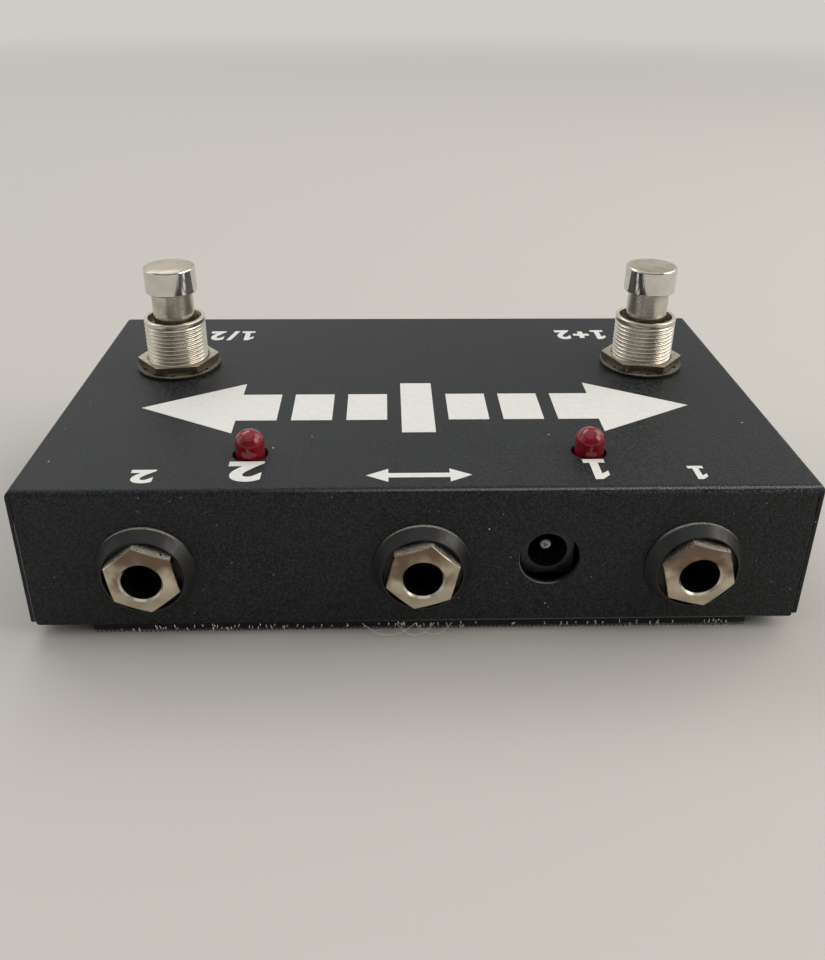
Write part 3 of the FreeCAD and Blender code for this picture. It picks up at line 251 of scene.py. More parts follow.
def turned(
    outline: Sequence[Ring],
    segments: int = 96,
    side: Callable[[float], float] | None = None,
) -> Shape:
    """Turn a closed outline round the Z axis.

    Args:
        outline: Radius and height of each ring. A radius of None follows the side, one below zero
            runs that far inside it, and a height may be worked out from the radius.
        segments: Steps round the axis.
        side: Distance from the axis to the side at an angle, for shapes that aren't round.

    Returns:
        The mesh.
    """
    shape = bmesh.new()
    rings = []
    for radius, height in outline:
        ring = []
        on_axis = radius is not None and 0 <= radius < TINY
        for k in range(1 if on_axis else segments):
            angle = FULL_TURN * k / segments
            reach = side(angle) + (radius or 0.0) if radius is None or radius < 0 else radius
            level = height(reach) if callable(height) else height
            ring.append(shape.verts.new((reach * math.cos(angle), reach * math.sin(angle), level)))
        rings.append(ring)
    for low, high in zip(rings, rings[1:] + rings[:1]):
        for k in range(segments):
            corners = [low[k % len(low)], low[(k + 1) % len(low)],
                       high[(k + 1) % len(high)], high[k % len(high)]]
            corners = list(dict.fromkeys(corners))
            if len(corners) > 2:
                shape.faces.new(corners)
    return shape


def hexagon(across: float, corner: float) -> Callable[[float], float]:
    """Describe a hexagon with its first corner on the X axis.

    Args:
        across: Distance across flats.
        corner: Radius that the corners are cut back to.

    Returns:
        A function from an angle to the distance to the side.
    """

    def reach(angle: float) -> float:
        """Give the distance to the side at an angle."""
        folded = angle % (math.pi / 3) - math.pi / 6
        return min(across / 2 / math.cos(folded), corner)

    return reach


def shown(name: str, data: bpy.types.ID) -> Piece:
    """Put a mesh, text, light or camera into the scene.

    Args:
        name: Name of the object.
        data: What it shows.

    Returns:
        The object.
    """
    piece = bpy.data.objects.new(name, data)
    bpy.context.scene.collection.objects.link(piece)
    return piece


def settled(piece: Piece) -> Piece:
    """Turn a piece's modifiers into its plain mesh.

    Args:
        piece: The piece with its modifiers.

    Returns:
        The same piece, with no modifier.
    """
    graph = bpy.context.evaluated_depsgraph_get()
    mesh = bpy.data.meshes.new_from_object(
        piece.evaluated_get(graph), preserve_all_data_layers=True, depsgraph=graph)
    mesh.name = piece.name
    piece.modifiers.clear()
    piece.data = mesh
    return piece


def solid(
    name: str,
    shape: Shape,
    place: Matrix = Matrix.Identity(4),
    ease: float = 0.0,
    smooth: float = 38.0,
    held: bool = True,
) -> Piece:
    """Finish a mesh in millimetres as a piece in metres.

    Args:
        name: Name of the piece.
        shape: Its mesh, used up here.
        place: Where it goes, in millimetres.
        ease: How far sharp edges are rounded, in millimetres; 0 leaves them.
        smooth: Edges that turn by less than these degrees are shaded smooth.
        held: Whether the narrowest face holds back the rounding of the whole mesh.

    Returns:
        The piece as a plain mesh.
    """
    shape.transform(Matrix.Scale(MM, 4) @ place)
    bmesh.ops.recalc_face_normals(shape, faces=shape.faces)
    mesh = bpy.data.meshes.new(name)
    shape.to_mesh(mesh)
    shape.free()
    mesh.shade_smooth()
    piece = shown(name, mesh)
    if ease:
        bevel = piece.modifiers.new("eased edges", "BEVEL")
        bevel.width = ease * MM
        bevel.segments = BEVEL_STEPS
        bevel.limit_method = "ANGLE"
        bevel.angle_limit = math.radians(smooth)
        bevel.use_clamp_overlap = held
        settled(piece)
    piece.data.set_sharp_from_angle(angle=math.radians(smooth))
    piece.modifiers.new("flat faces stay flat", "WEIGHTED_NORMAL").keep_sharp = True
    return settled(piece)


def mesh_of(name: str, data: bpy.types.ID) -> bpy.types.Mesh:
    """Turn a curve or text into a mesh.

    Args:
        name: Name while it is turned.
        data: The curve or text.

    Returns:
        The mesh.
    """
    holder = shown(name, data)
    mesh = bpy.data.meshes.new_from_object(holder)
    bpy.data.objects.remove(holder)
    return mesh


def take_in(whole: Shape, mesh: bpy.types.Mesh) -> None:
    """Put a scratch mesh into a shape and use it up."""
    whole.from_mesh(mesh)
    bpy.data.meshes.remove(mesh)


def join_in(whole: Shape, part: Shape, place: Matrix) -> None:
    """Put one shape into another and use it up.

    Args:
        whole: The shape that grows.
        part: The shape that goes in.
        place: Where it goes, in millimetres.
    """
    part.transform(place)
    scratch = bpy.data.meshes.new("scratch")
    part.to_mesh(scratch)
    part.free()
    take_in(whole, scratch)


def clean_copy(node: Piece) -> Shape:
    """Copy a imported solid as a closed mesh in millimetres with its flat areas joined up.

    Args:
        node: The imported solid.

    Returns:
        The copy.
    """
    shape = bmesh.new()
    shape.from_mesh(node.data)
    shape.transform(Matrix.Scale(1 / MM, 4))
    bmesh.ops.remove_doubles(shape, verts=shape.verts, dist=WELD)
    bmesh.ops.dissolve_limit(
        shape, angle_limit=FLAT_WITHIN, verts=shape.verts, edges=shape.edges)
    return shape


def paint(piece: Piece, finish: "Finish", test: Callable[[Vector], bool]) -> None:
    """Give some faces of a piece another finish.

    Args:
        piece: The piece, which has its first finish already.
        finish: The other finish.
        test: Tells from a face's middle, in millimetres, whether it gets that finish.
    """
    piece.data.materials.append(finish.material())
    number = len(piece.data.materials) - 1
    for face in piece.data.polygons:
        if test(face.center / MM):
            face.material_index = number


def start_tree(name: str, sockets: dict[str, str]) -> tuple[Tree, dict[str, Socket]]:
    """Start a geometry tree.

    Args:
        name: Name of the tree.
        sockets: Its named inputs, after the geometry, and their socket types.

    Returns:
        The tree and what comes in by each name.
    """
    tree = bpy.data.node_groups.new(name, "GeometryNodeTree")
    tree.interface.new_socket("Geometry", in_out="OUTPUT", socket_type="NodeSocketGeometry")
    for label, kind in {"Geometry": "Geometry", **sockets}.items():
        tree.interface.new_socket(label, in_out="INPUT", socket_type="NodeSocket" + kind)
    given = tree.nodes.new("NodeGroupInput").outputs
    return tree, {label: given[label] for label in ("Geometry", *sockets)}


def real_mesh(tree: Tree, shape: Socket, finish: Socket) -> Socket:
    """Make instances real and give them their material.

    Args:
        tree: The geometry tree.
        shape: The geometry so far.
        finish: The material input.

    Returns:
        The geometry.
    """
    real = add_node(tree, "GeometryNodeRealizeInstances", inputs={0: shape}).outputs[0]
    inputs = {"Geometry": real, "Material": finish}
    return add_node(tree, "GeometryNodeSetMaterial", inputs=inputs).outputs[0]


def grown(piece: Piece, name: str, build: Callable[[str], Tree], values: dict[str, Any]) -> Piece:
    """Run a geometry tree on a piece and keep its result as a plain mesh.

    Args:
        piece: The piece.
        name: Name of the geometry tree.
        build: Makes the tree the first time.
        values: A value for each named input.

    Returns:
        The same piece.
    """
    tree = bpy.data.node_groups.get(name) or build(name)
    modifier = piece.modifiers.new(name, "NODES")
    modifier.node_group = tree
    for item in tree.interface.items_tree:
        if item.in_out == "INPUT" and item.name in values:
            modifier[item.identifier] = values[item.name]
    return settled(piece)


# Finishes


@dataclass(frozen=True)
class Pattern(Wiring):
    """Patterns on a surface.

    Attributes:
        place: Object coordinates in millimetres.
    """

    place: Socket

    def noise(self, size: float, detail: float = 3.0) -> Socket:
        """Add noise, from 0 to 1.

        Args:
            size: Width of a patch in millimetres.
            detail: Finer layers on top.

        Returns:
            The noise.
        """
        inputs = {"Vector": self.place, "Scale": 1 / size, "Detail": detail}
        return add_node(self.tree, "ShaderNodeTexNoise", inputs=inputs).outputs["Fac"]

    def facing(self, direction: Place) -> Socket:
        """Tell how far the surface faces a direction: 1 is straight that way.

        Args:
            direction: The direction.

        Returns:
            The value.
        """
        normal = add_node(self.tree, "ShaderNodeNewGeometry").outputs["Normal"]
        inputs = {0: normal, 1: direction}
        dot = {"operation": "DOT_PRODUCT"}
        return add_node(self.tree, "ShaderNodeVectorMath", dot, inputs).outputs["Value"]

    def specks(self, every: float, radius: float, rare: float) -> Socket:
        """Scatter round specks.

        Args:
            every: Distance between the places where one may lie.
            radius: Radius of a speck.
            rare: Share of the places that stays bare.

        Returns:
            The mask.
        """
        inputs = {"Vector": self.place, "Scale": 1 / every}
        cells = add_node(self.tree, "ShaderNodeTexVoronoi", inputs=inputs).outputs
        spot = self.ramp(cells["Distance"], radius / every, 0.4 * radius / every)
        split = add_node(self.tree, "ShaderNodeSeparateColor", inputs={0: cells["Color"]})
        return self.product(spot, self.ramp(split.outputs[0], rare, rare + 0.3))

    def raise_grain(self, shader: Node, height: Socket, relief: float) -> None:
        """Let a pattern stand up from the surface.

        Args:
            shader: The surface shader.
            height: The pattern, from 0 to 1.
            relief: Real height of the pattern in millimetres.
        """
        bump = add_node(
            self.tree, "ShaderNodeBump", inputs={"Height": height, "Distance": relief * MM})
        feed(self.tree, shader, {"Normal": bump.outputs["Normal"]})


UP = (0.0, 0.0, 1.0)
# The middle of a noise, where nearly all of its values lie
DRIFT = (0.3, 0.7)
DUST = "#BDB7AA"


@dataclass(frozen=True)
class Finish:
    """A surface finish whose colour, gloss and relief drift a little.

    Attributes:
        name: Common name of the material and how its surface was made.
        slot: Material slot in the record; not used.
        colour: Main colour.
        tone: Colour that the main one drifts to.
        roughness: Middle of the roughness.
        metallic: 1 for bare metal.
        grain: Size of one patch of the drift.
        uneven: How far the roughness drifts to each side.
        relief: Height of the grain.
        dust: How much dust lies on what faces up, from 0 to 1.
    """

    name: str
    slot: str
    colour: str
    tone: str
    roughness: float
    metallic: float = 0.0
    grain: float = 1.5
    uneven: float = 0.05
    relief: float = 0.0
    dust: float = 0.0

    def material(self) -> bpy.types.Material:
        """Give the material, and make it the first time.

        Returns:
            The material.
        """
        known = bpy.data.materials.get(self.name)
        if known is not None:
            return known
        material = bpy.data.materials.new(self.name)
        material.use_nodes = True
        tree = material.node_tree
        shader = tree.nodes["Principled BSDF"]
        shader.inputs["Metallic"].default_value = self.metallic
        where = add_node(tree, "ShaderNodeTexCoord").outputs["Object"]
        scale = (1 / MM, 1 / MM, 1 / MM)
        place = add_node(tree, "ShaderNodeMapping", inputs={"Vector": where, "Scale": scale})
        self.dress(Pattern(tree, place.outputs["Vector"]), shader)
        return material

    def gloss(self, pattern: Pattern, noise: Socket) -> Socket:
        """Let the roughness drift with a noise."""
        low, high = self.roughness - self.uneven, self.roughness + self.uneven
        return pattern.ramp(noise, *DRIFT, low, high)

    def dress(self, pattern: Pattern, shader: Node) -> None:
        """Let colour, gloss and relief drift over the surface.

        Args:
            pattern: The patterns of this surface.
            shader: The surface shader.
        """
        noise = pattern.noise(self.grain)
        colour = pattern.mixed(pattern.ramp(noise, *DRIFT), self.colour, self.tone)
        colour = self.aged_or_shaded(pattern, colour)
        gloss = self.gloss(pattern, noise)
        if self.dust:
            dust = self.settled_dust(pattern)
            colour = pattern.mixed(dust, colour, DUST)
            gloss = pattern.ramp(pattern.total(gloss, dust), 0.0, 1.0)
            if self.metallic:
                bare = pattern.ramp(dust, 0.0, 1.0, self.metallic, 0.0)
                feed(pattern.tree, shader, {"Metallic": bare})
        feed(pattern.tree, shader, {"Base Color": colour, "Roughness": gloss})
        if self.relief:
            pattern.raise_grain(shader, pattern.noise(self.grain / 3), self.relief)

    def aged_or_shaded(self, pattern: Pattern, colour: Socket) -> Socket:
        """Give the colour with its age or painted shade on it, which is none here."""
        return colour

    def settled_dust(self, pattern: Pattern) -> Socket:
        """Find where dust lies: in patches on what faces up.

        Args:
            pattern: The patterns of this surface.

        Returns:
            The mask.
        """
        patches = pattern.ramp(pattern.noise(0.25, 4.0), 0.3, 0.54, 0.0, self.dust)
        return pattern.product(patches, pattern.ramp(pattern.facing(UP), 0.45, 0.9))


@dataclass(frozen=True)
class PowderCoat(Finish):
    """Fine textured powder coat with dust on it, and painted highlights along its front edges.

    Attributes:
        grit: Width of one grain of the texture, drawn at about twice its real size to show.
        grain_tops: Colour of the grains' tops.
        speck: Radius of a dust speck.
        speck_every: Distance between places where a speck may lie.
        speck_colour: Colour of the specks.
        lint_colour: Colour of the larger, rarer specks.
        mirror: Strength of the coat's plain reflection, less than a smooth paint has.
        edge_highlight_and_dust: Colour of the painted highlights, partly dust, on the front bend,
            the front's lower edge and the holes' edges.
        crumb: Width of the crumbs that the highlighted, dusty line breaks into.
        bend_front: Front face that the dusty bend turns into.
        bend_top: Top face that the dusty bend turns from.
        hem: Height of the front face's lower edge.
    """

    grit: float = 0.36
    grain_tops: str = "#363A3B"
    speck: float = 0.13
    speck_every: float = 1.7
    speck_colour: str = "#ACABA7"
    lint_colour: str = "#DAD8D3"
    mirror: float = 0.24
    edge_highlight_and_dust: str = "#85878A"
    crumb: float = 0.24
    bend_front: float = -39.0
    bend_top: float = 28.6
    hem: float = 2.6

    def dress(self, pattern: Pattern, shader: Node) -> None:
        """Add the sandy grain, paler grain tops, dust specks, and the painted highlights with dust
        on the edges.

        Args:
            pattern: The patterns of this surface.
            shader: The surface shader.
        """
        grit = pattern.noise(self.grit, 2.0)
        dust = pattern.product(
            pattern.specks(self.speck_every, self.speck, 0.55),
            pattern.ramp(pattern.facing(UP), 0.2, 0.8, 1.0, 0.25))
        lint = pattern.specks(3.5 * self.speck_every, 1.5 * self.speck, 0.4)
        colour: Any = self.colour
        for share, second in (
            (pattern.ramp(pattern.noise(self.grain), *DRIFT), self.tone),
            (pattern.ramp(grit, 0.4, 0.66, 0.0, 0.8), self.grain_tops),
            (dust, self.speck_colour),
            (lint, self.lint_colour),
            # Painted highlights, partly dust, on the front bend, lower edge and hole edges
            (pattern.total(self.bend(pattern), self.edges(pattern)), self.edge_highlight_and_dust),
        ):
            colour = pattern.mixed(share, colour, second)
        feed(pattern.tree, shader, {
            "Base Color": colour,
            "Roughness": self.gloss(pattern, grit),
            "Specular IOR Level": self.mirror,
        })
        pattern.raise_grain(shader, grit, self.relief)

    def bend(self, pattern: Pattern) -> Socket:
        """Find the painted highlights along the bend and the lower edge of the front, which are
        partly dust, and the dust specks under the bend.

        All of them grow stronger to the right, on the side where the light is brighter.

        Args:
            pattern: The patterns of this surface.

        Returns:
            The mask.
        """
        across, depth, height = pattern.axes(pattern.place)
        top = self.bend_top
        crumbs = pattern.noise(self.crumb, 2.0)
        line = pattern.product(
            pattern.ramp(height, top - 0.56, top - 0.42),
            pattern.ramp(height, top - 0.16, top - 0.3),
            pattern.ramp(across, -32.0, 12.0),
            pattern.ramp(crumbs, 0.34, 0.6, 0.2, 0.8))
        hem = pattern.product(
            pattern.ramp(height, self.hem + 0.34, self.hem + 0.16, 0.0, 0.42),
            pattern.ramp(across, -25.0, 15.0))
        fringe = pattern.product(
            pattern.ramp(height, top - 1.7, top - 0.5),
            pattern.ramp(across, 5.0, 60.0),
            pattern.ramp(crumbs, 0.5, 0.66, 0.0, 0.6),
            pattern.ramp(height, top - 0.1, top - 0.2))
        front = pattern.ramp(depth, self.bend_front + 0.9, self.bend_front + 0.6)
        return pattern.product(front, pattern.total(line, hem, fringe))

    def edges(self, pattern: Pattern) -> Socket:
        """Find the painted highlight on the lower left edges of the holes in the front face, where
        they face up and to the right.

        Args:
            pattern: The patterns of this surface.

        Returns:
            The mask.
        """
        _, depth, height = pattern.axes(pattern.place)
        upward = pattern.facing((0.7, 0.0, 0.7))
        return pattern.product(
            pattern.ramp(upward, 0.2, 0.6),
            pattern.ramp(upward, 0.95, 0.85),
            pattern.ramp(depth, self.bend_front + 0.4, self.bend_front + 0.2),
            pattern.ramp(height, self.bend_top - 5.0, self.bend_top - 6.0))


@dataclass(frozen=True)
class Metal(Finish):
    """Bare or plated metal."""

    metallic: float = 1.0


@dataclass(frozen=True)
class NickelWithPaintedDarkTop(Metal):
    """Nickel whose upper part is painted darker and browner, a painted reflection of the dark
    surroundings.

    Attributes:
        painted_dark_top: Colour of the painted dark reflection on the upper part.
        unpainted_below: Height under which the plate keeps its own colour.
        fully_painted_above: Height over which the painted dark reflection is full.
        waver: How far its edge strays up and down.
    """

    painted_dark_top: str = "#5F4B3D"
    unpainted_below: float = 11.0
    fully_painted_above: float = 17.5
    waver: float = 2.4

    def aged_or_shaded(self, pattern: Pattern, colour: Socket) -> Socket:
        """Add the painted dark reflection over the upper part, with a blotchy edge.

        Args:
            pattern: The patterns of this surface.
            colour: The clean plate.

        Returns:
            The tarnished plate.
        """
        height = pattern.axes(pattern.place)[2]
        blotch = pattern.ramp(pattern.noise(self.grain, 2.0), 0.25, 0.75, -self.waver, self.waver)
        # Painted shade: the plate turns darker and browner with height
        share = pattern.ramp(
            pattern.total(height, blotch), self.unpainted_below, self.fully_painted_above, 0.0, 0.9)
        return pattern.mixed(share, colour, self.painted_dark_top)


@dataclass(frozen=True)
class TurnedMetal(Metal):
    """Bare metal with the fine rings that a lathe leaves.

    Attributes:
        ring_step: Distance between rings, drawn at about three times its real size to show.
        ring_relief: Height of the rings.
    """

    ring_step: float = 0.3
    ring_relief: float = 0.004

    def dress(self, pattern: Pattern, shader: Node) -> None:
        """Add rings to the plain drift.

        Args:
            pattern: The patterns of this surface.
            shader: The surface shader.
        """
        super().dress(pattern, shader)
        settings = {"wave_type": "BANDS", "bands_direction": "Z"}
        inputs = {"Vector": pattern.place, "Scale": 1 / (3 * self.ring_step), "Distortion": 0.4}
        rings = add_node(pattern.tree, "ShaderNodeTexWave", settings, inputs)
        pattern.raise_grain(shader, rings.outputs["Fac"], self.ring_relief)


@dataclass(frozen=True)
class ClearResin(Finish):
    """Tinted clear resin, cast and glossy.

    Attributes:
        clearness: Share of the light that goes through.
        bending: Index of refraction.
    """

    clearness: float = 0.28
    bending: float = 1.54

    def dress(self, pattern: Pattern, shader: Node) -> None:
        """Let light through the plain drift.

        Args:
            pattern: The patterns of this surface.
            shader: The surface shader.
        """
        super().dress(pattern, shader)
        inputs = {"Transmission Weight": self.clearness, "IOR": self.bending}
        feed(pattern.tree, shader, inputs)


# Powder coated steel: nearly black, with a sandy grain that scatters a grey sheen, and painted
# highlights with dust along its front edges
POWDER = PowderCoat("textured_powder_coat", "powder_coat", "#121416", "#181A1C", 0.5,
                    grain=9.0, uneven=0.1, relief=0.08)
# Screen printed ink: chalky white, following the grain under it
INK = Finish("screen_printed_ink", "powder_coat", "#E6E6E1", "#E0E0DB", 0.6,
             grain=1.2, uneven=0.03, relief=0.02)
# Bright nickel on turned brass: warm mirror with faint cloudiness
NICKEL = Metal("bright_nickel_plate", "nickel", "#C2B8A6", "#AA9E8A", 0.26,
               grain=1.6, uneven=0.06, dust=0.3)
# Nickel on the thread: neutral and clean, so that its crests and roots draw clear lines
NICKEL_THREAD = Metal("nickel_plated_thread", "nickel", "#DCD6CA", "#D0C9BB", 0.24,
                      grain=3.0, uneven=0.04)
# Nickel on the washers' teeth, dark grey and dull: a dark ring under the nut
NICKEL_DULL = Metal("dulled_nickel_plate", "nickel", "#4E4B45", "#383530", 0.52,
                    grain=0.7, uneven=0.08, relief=0.01, dust=0.45)
# Nickel on the socket nuts: warm, with faint handling marks, a crust of dust on top and a painted
# dark reflection over the upper part
NICKEL_NUT = NickelWithPaintedDarkTop("nickel_plate_painted_dark_top", "nickel", "#DDD2BE", "#C0B198", 0.17,
                           grain=4.0, dust=0.8)
# Painted shade deep in the nuts' bores and on the power pin's shaft: dull, dark nickel
BORE_SHADE = Metal("bore_painted_shade", "nickel", "#57524A", "#3E3A34", 0.4, uneven=0.08)
# Chrome on the caps: mirror sides
CHROME = Metal("polished_chrome_plate", "chrome", "#DDDAD4", "#D2CFC8", 0.06,
               grain=2.5, uneven=0.03)
# The caps' tops, rubbed dull by shoes: a warm satin with soft blotches
WORN_CHROME = Metal("shoe_worn_chrome_plate", "chrome", "#C6BEAC", "#B4AB98", 0.33,
                    grain=2.4, relief=0.006)
# The button's neck: turned steel, rings and a soft gloss
TURNED_STEEL = TurnedMetal("turned_steel", "chrome", "#CFCAC0", "#BCB6AA", 0.26, grain=3.0)
# Moulded nylon of the washers: smooth satin black
NYLON = Finish("moulded_black_nylon", "black_plastic", "#131314", "#1A1A1B", 0.4,
               grain=1.1, uneven=0.06, relief=0.004)
# The same nylon on the washers' outer edge, where dust catches: a thin pale line on top
NYLON_EDGE = Finish("dusty_black_nylon", "black_plastic", "#2A2A2B", "#343435", 0.5,
                    grain=0.8, uneven=0.06, relief=0.02, dust=0.85)
# Moulded plastic of the sockets: glossier and darker
SOCKET_PLASTIC = Finish("moulded_black_plastic", "black_plastic", "#1A1A1B", "#202021", 0.32,
                        uneven=0.06)
# Screws blackened in a hot bath: brownish black with a low metal sheen
BLACK_STEEL = Finish("black_oxide_steel", "black_steel", "#191817", "#262422", 0.38,
                     metallic=0.6, grain=0.7, uneven=0.08, relief=0.01)
# Zinc plate on pressed steel: cool and cloudy
ZINC = Metal("zinc_plated_steel", "zinc_steel", "#B9BBBA", "#9DA09F", 0.32,
             grain=2.5, uneven=0.08)
# Hard drawn wire and strip: grey and bare, with a soft gloss
SPRING = Metal("drawn_spring_steel", "spring_steel", "#9A9894", "#7F7D79", 0.3,
               grain=0.6, uneven=0.07)
# Moulded cases of the switches: a strong, even blue
CASE_BLUE = Finish("moulded_blue_plastic", "blue_plastic", "#234F8C", "#1E4478", 0.4,
                   grain=2.0, uneven=0.06, relief=0.01)
# Paper laminate of the terminal boards: matt tan with darker fibres
LAMINATE = Finish("paper_laminate", "brown_laminate", "#8B6239", "#6F4B2A", 0.55,
                  grain=0.9, uneven=0.06, relief=0.01)
# Solder mask on the board: glossy green over a faint weave
BOARD_GREEN = Finish("solder_masked_board", "green_laminate", "#1D6238", "#14502C", 0.35,
                     grain=1.4, uneven=0.06, relief=0.01)
# Tin on copper leads and lugs: pale, with uneven gloss
TINNED = Metal("tinned_copper", "tinned_copper", "#CFCBC2", "#AFAAA0", 0.3,
               grain=0.7, uneven=0.08)
# The power socket's pin: sawn off and dull at its tip
PIN = Finish("sawn_nickel_pin", "nickel", "#DAD6CC", "#A9A49A", 0.42,
             metallic=0.6, grain=0.45, uneven=0.1, relief=0.02)
# Tinted resin of the lamps: crimson, half clear, so that its frame only glimmers through
RESIN = ClearResin("red_cast_resin", "red_lens", "#A01529", "#901226", 0.07,
                   grain=2.0, uneven=0.02)
# Lacquer on the resistors: warm beige with a dip-coated gloss
RESISTOR = Finish("lacquered_ceramic", "resistor_body", "#C9B08A", "#B89C74", 0.4, grain=0.8)
# Shrunk sleeve of the battery: dark grey and evenly glossy
SLEEVE = Finish("shrunk_battery_sleeve", "battery_case", "#2B2C30", "#232428", 0.35,
                grain=3.0, uneven=0.06)
# Open foam: pores that read as a rough dark speckle
FOAM = Finish("open_cell_foam", "foam", "#2A2A2B", "#161617", 0.95,
              grain=0.8, uneven=0.04, relief=0.15)
# Soft vinyl on the leads: dark and a little waxy
SHEATH = Finish("soft_vinyl_sheath", "lead_sheath", "#1F1F21", "#2A2A2C", 0.45, grain=1.0)
# Nylon hooks: black monofilament with a wet looking gloss
HOOK_NYLON = Finish("drawn_nylon_hooks", "hook_tape", "#0D0D0E", "#17171A", 0.3,
                    grain=0.6, uneven=0.1)
# Woven backing of the tape: flat black cloth between the hooks
TAPE_WEAVE = Finish("woven_nylon_tape", "hook_tape", "#0C0C0D", "#161618", 0.75,
                    grain=0.5, uneven=0.08, relief=0.06)
# Lint in the hooks: pale cotton hairs
LINT = Finish("cotton_lint", "hook_tape", "#F2F0EA", "#E6E3DA", 0.8, grain=0.8)


# Sub-assemblies


@dataclass
class Assembly:
    """A sub-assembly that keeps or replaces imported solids.

    Attributes:
        nodes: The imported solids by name.
    """

    nodes: dict[str, Piece]

    def keep(self, finish: Finish, *names: str) -> None:
        """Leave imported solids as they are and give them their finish.

        Args:
            finish: Their finish.
            names: The solids.
        """
        for name in names:
            for place in self.nodes[name].material_slots:
                place.material = finish.material()
            LOG.info("kept %s in %s", name, finish.name)

    def hand_over(self, piece: Piece, body: Body, finish: Finish, *replaced: str) -> Piece:
        """Dress a new piece and let it ride on its body.

        Args:
            piece: The piece.
            body: The body that it moves with.
            finish: Its finish, unless its faces have theirs already.
            replaced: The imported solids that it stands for.

        Returns:
            The piece.
        """
        if not piece.data.materials:
            piece.data.materials.append(finish.material())
        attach(piece, body.value)
        if replaced:
            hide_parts(*replaced)
        LOG.info("made %s in %s, %d faces", piece.name, finish.name, len(piece.data.polygons))
        return piece


@dataclass
class Casing(Assembly):
    """The folded cover, its base, brackets and base screws.

    Attributes:
        hole_ease: Rounding that the coat gives to edges of the sheet.
    """

    hole_ease: float = 0.16

    def build(self) -> None:
        """Make the cover with eased edges and keep the rest."""
        shape = clean_copy(self.nodes["cover_shell"])
        cover = solid("folded_cover", shape, ease=self.hole_ease, smooth=32.0, held=False)
        self.hand_over(cover, Body.BOX, POWDER, "cover_shell")
        self.keep(POWDER, "base_plate")
        self.keep(BLACK_STEEL, "base_screws")
        self.keep(ZINC, "corner_brackets")


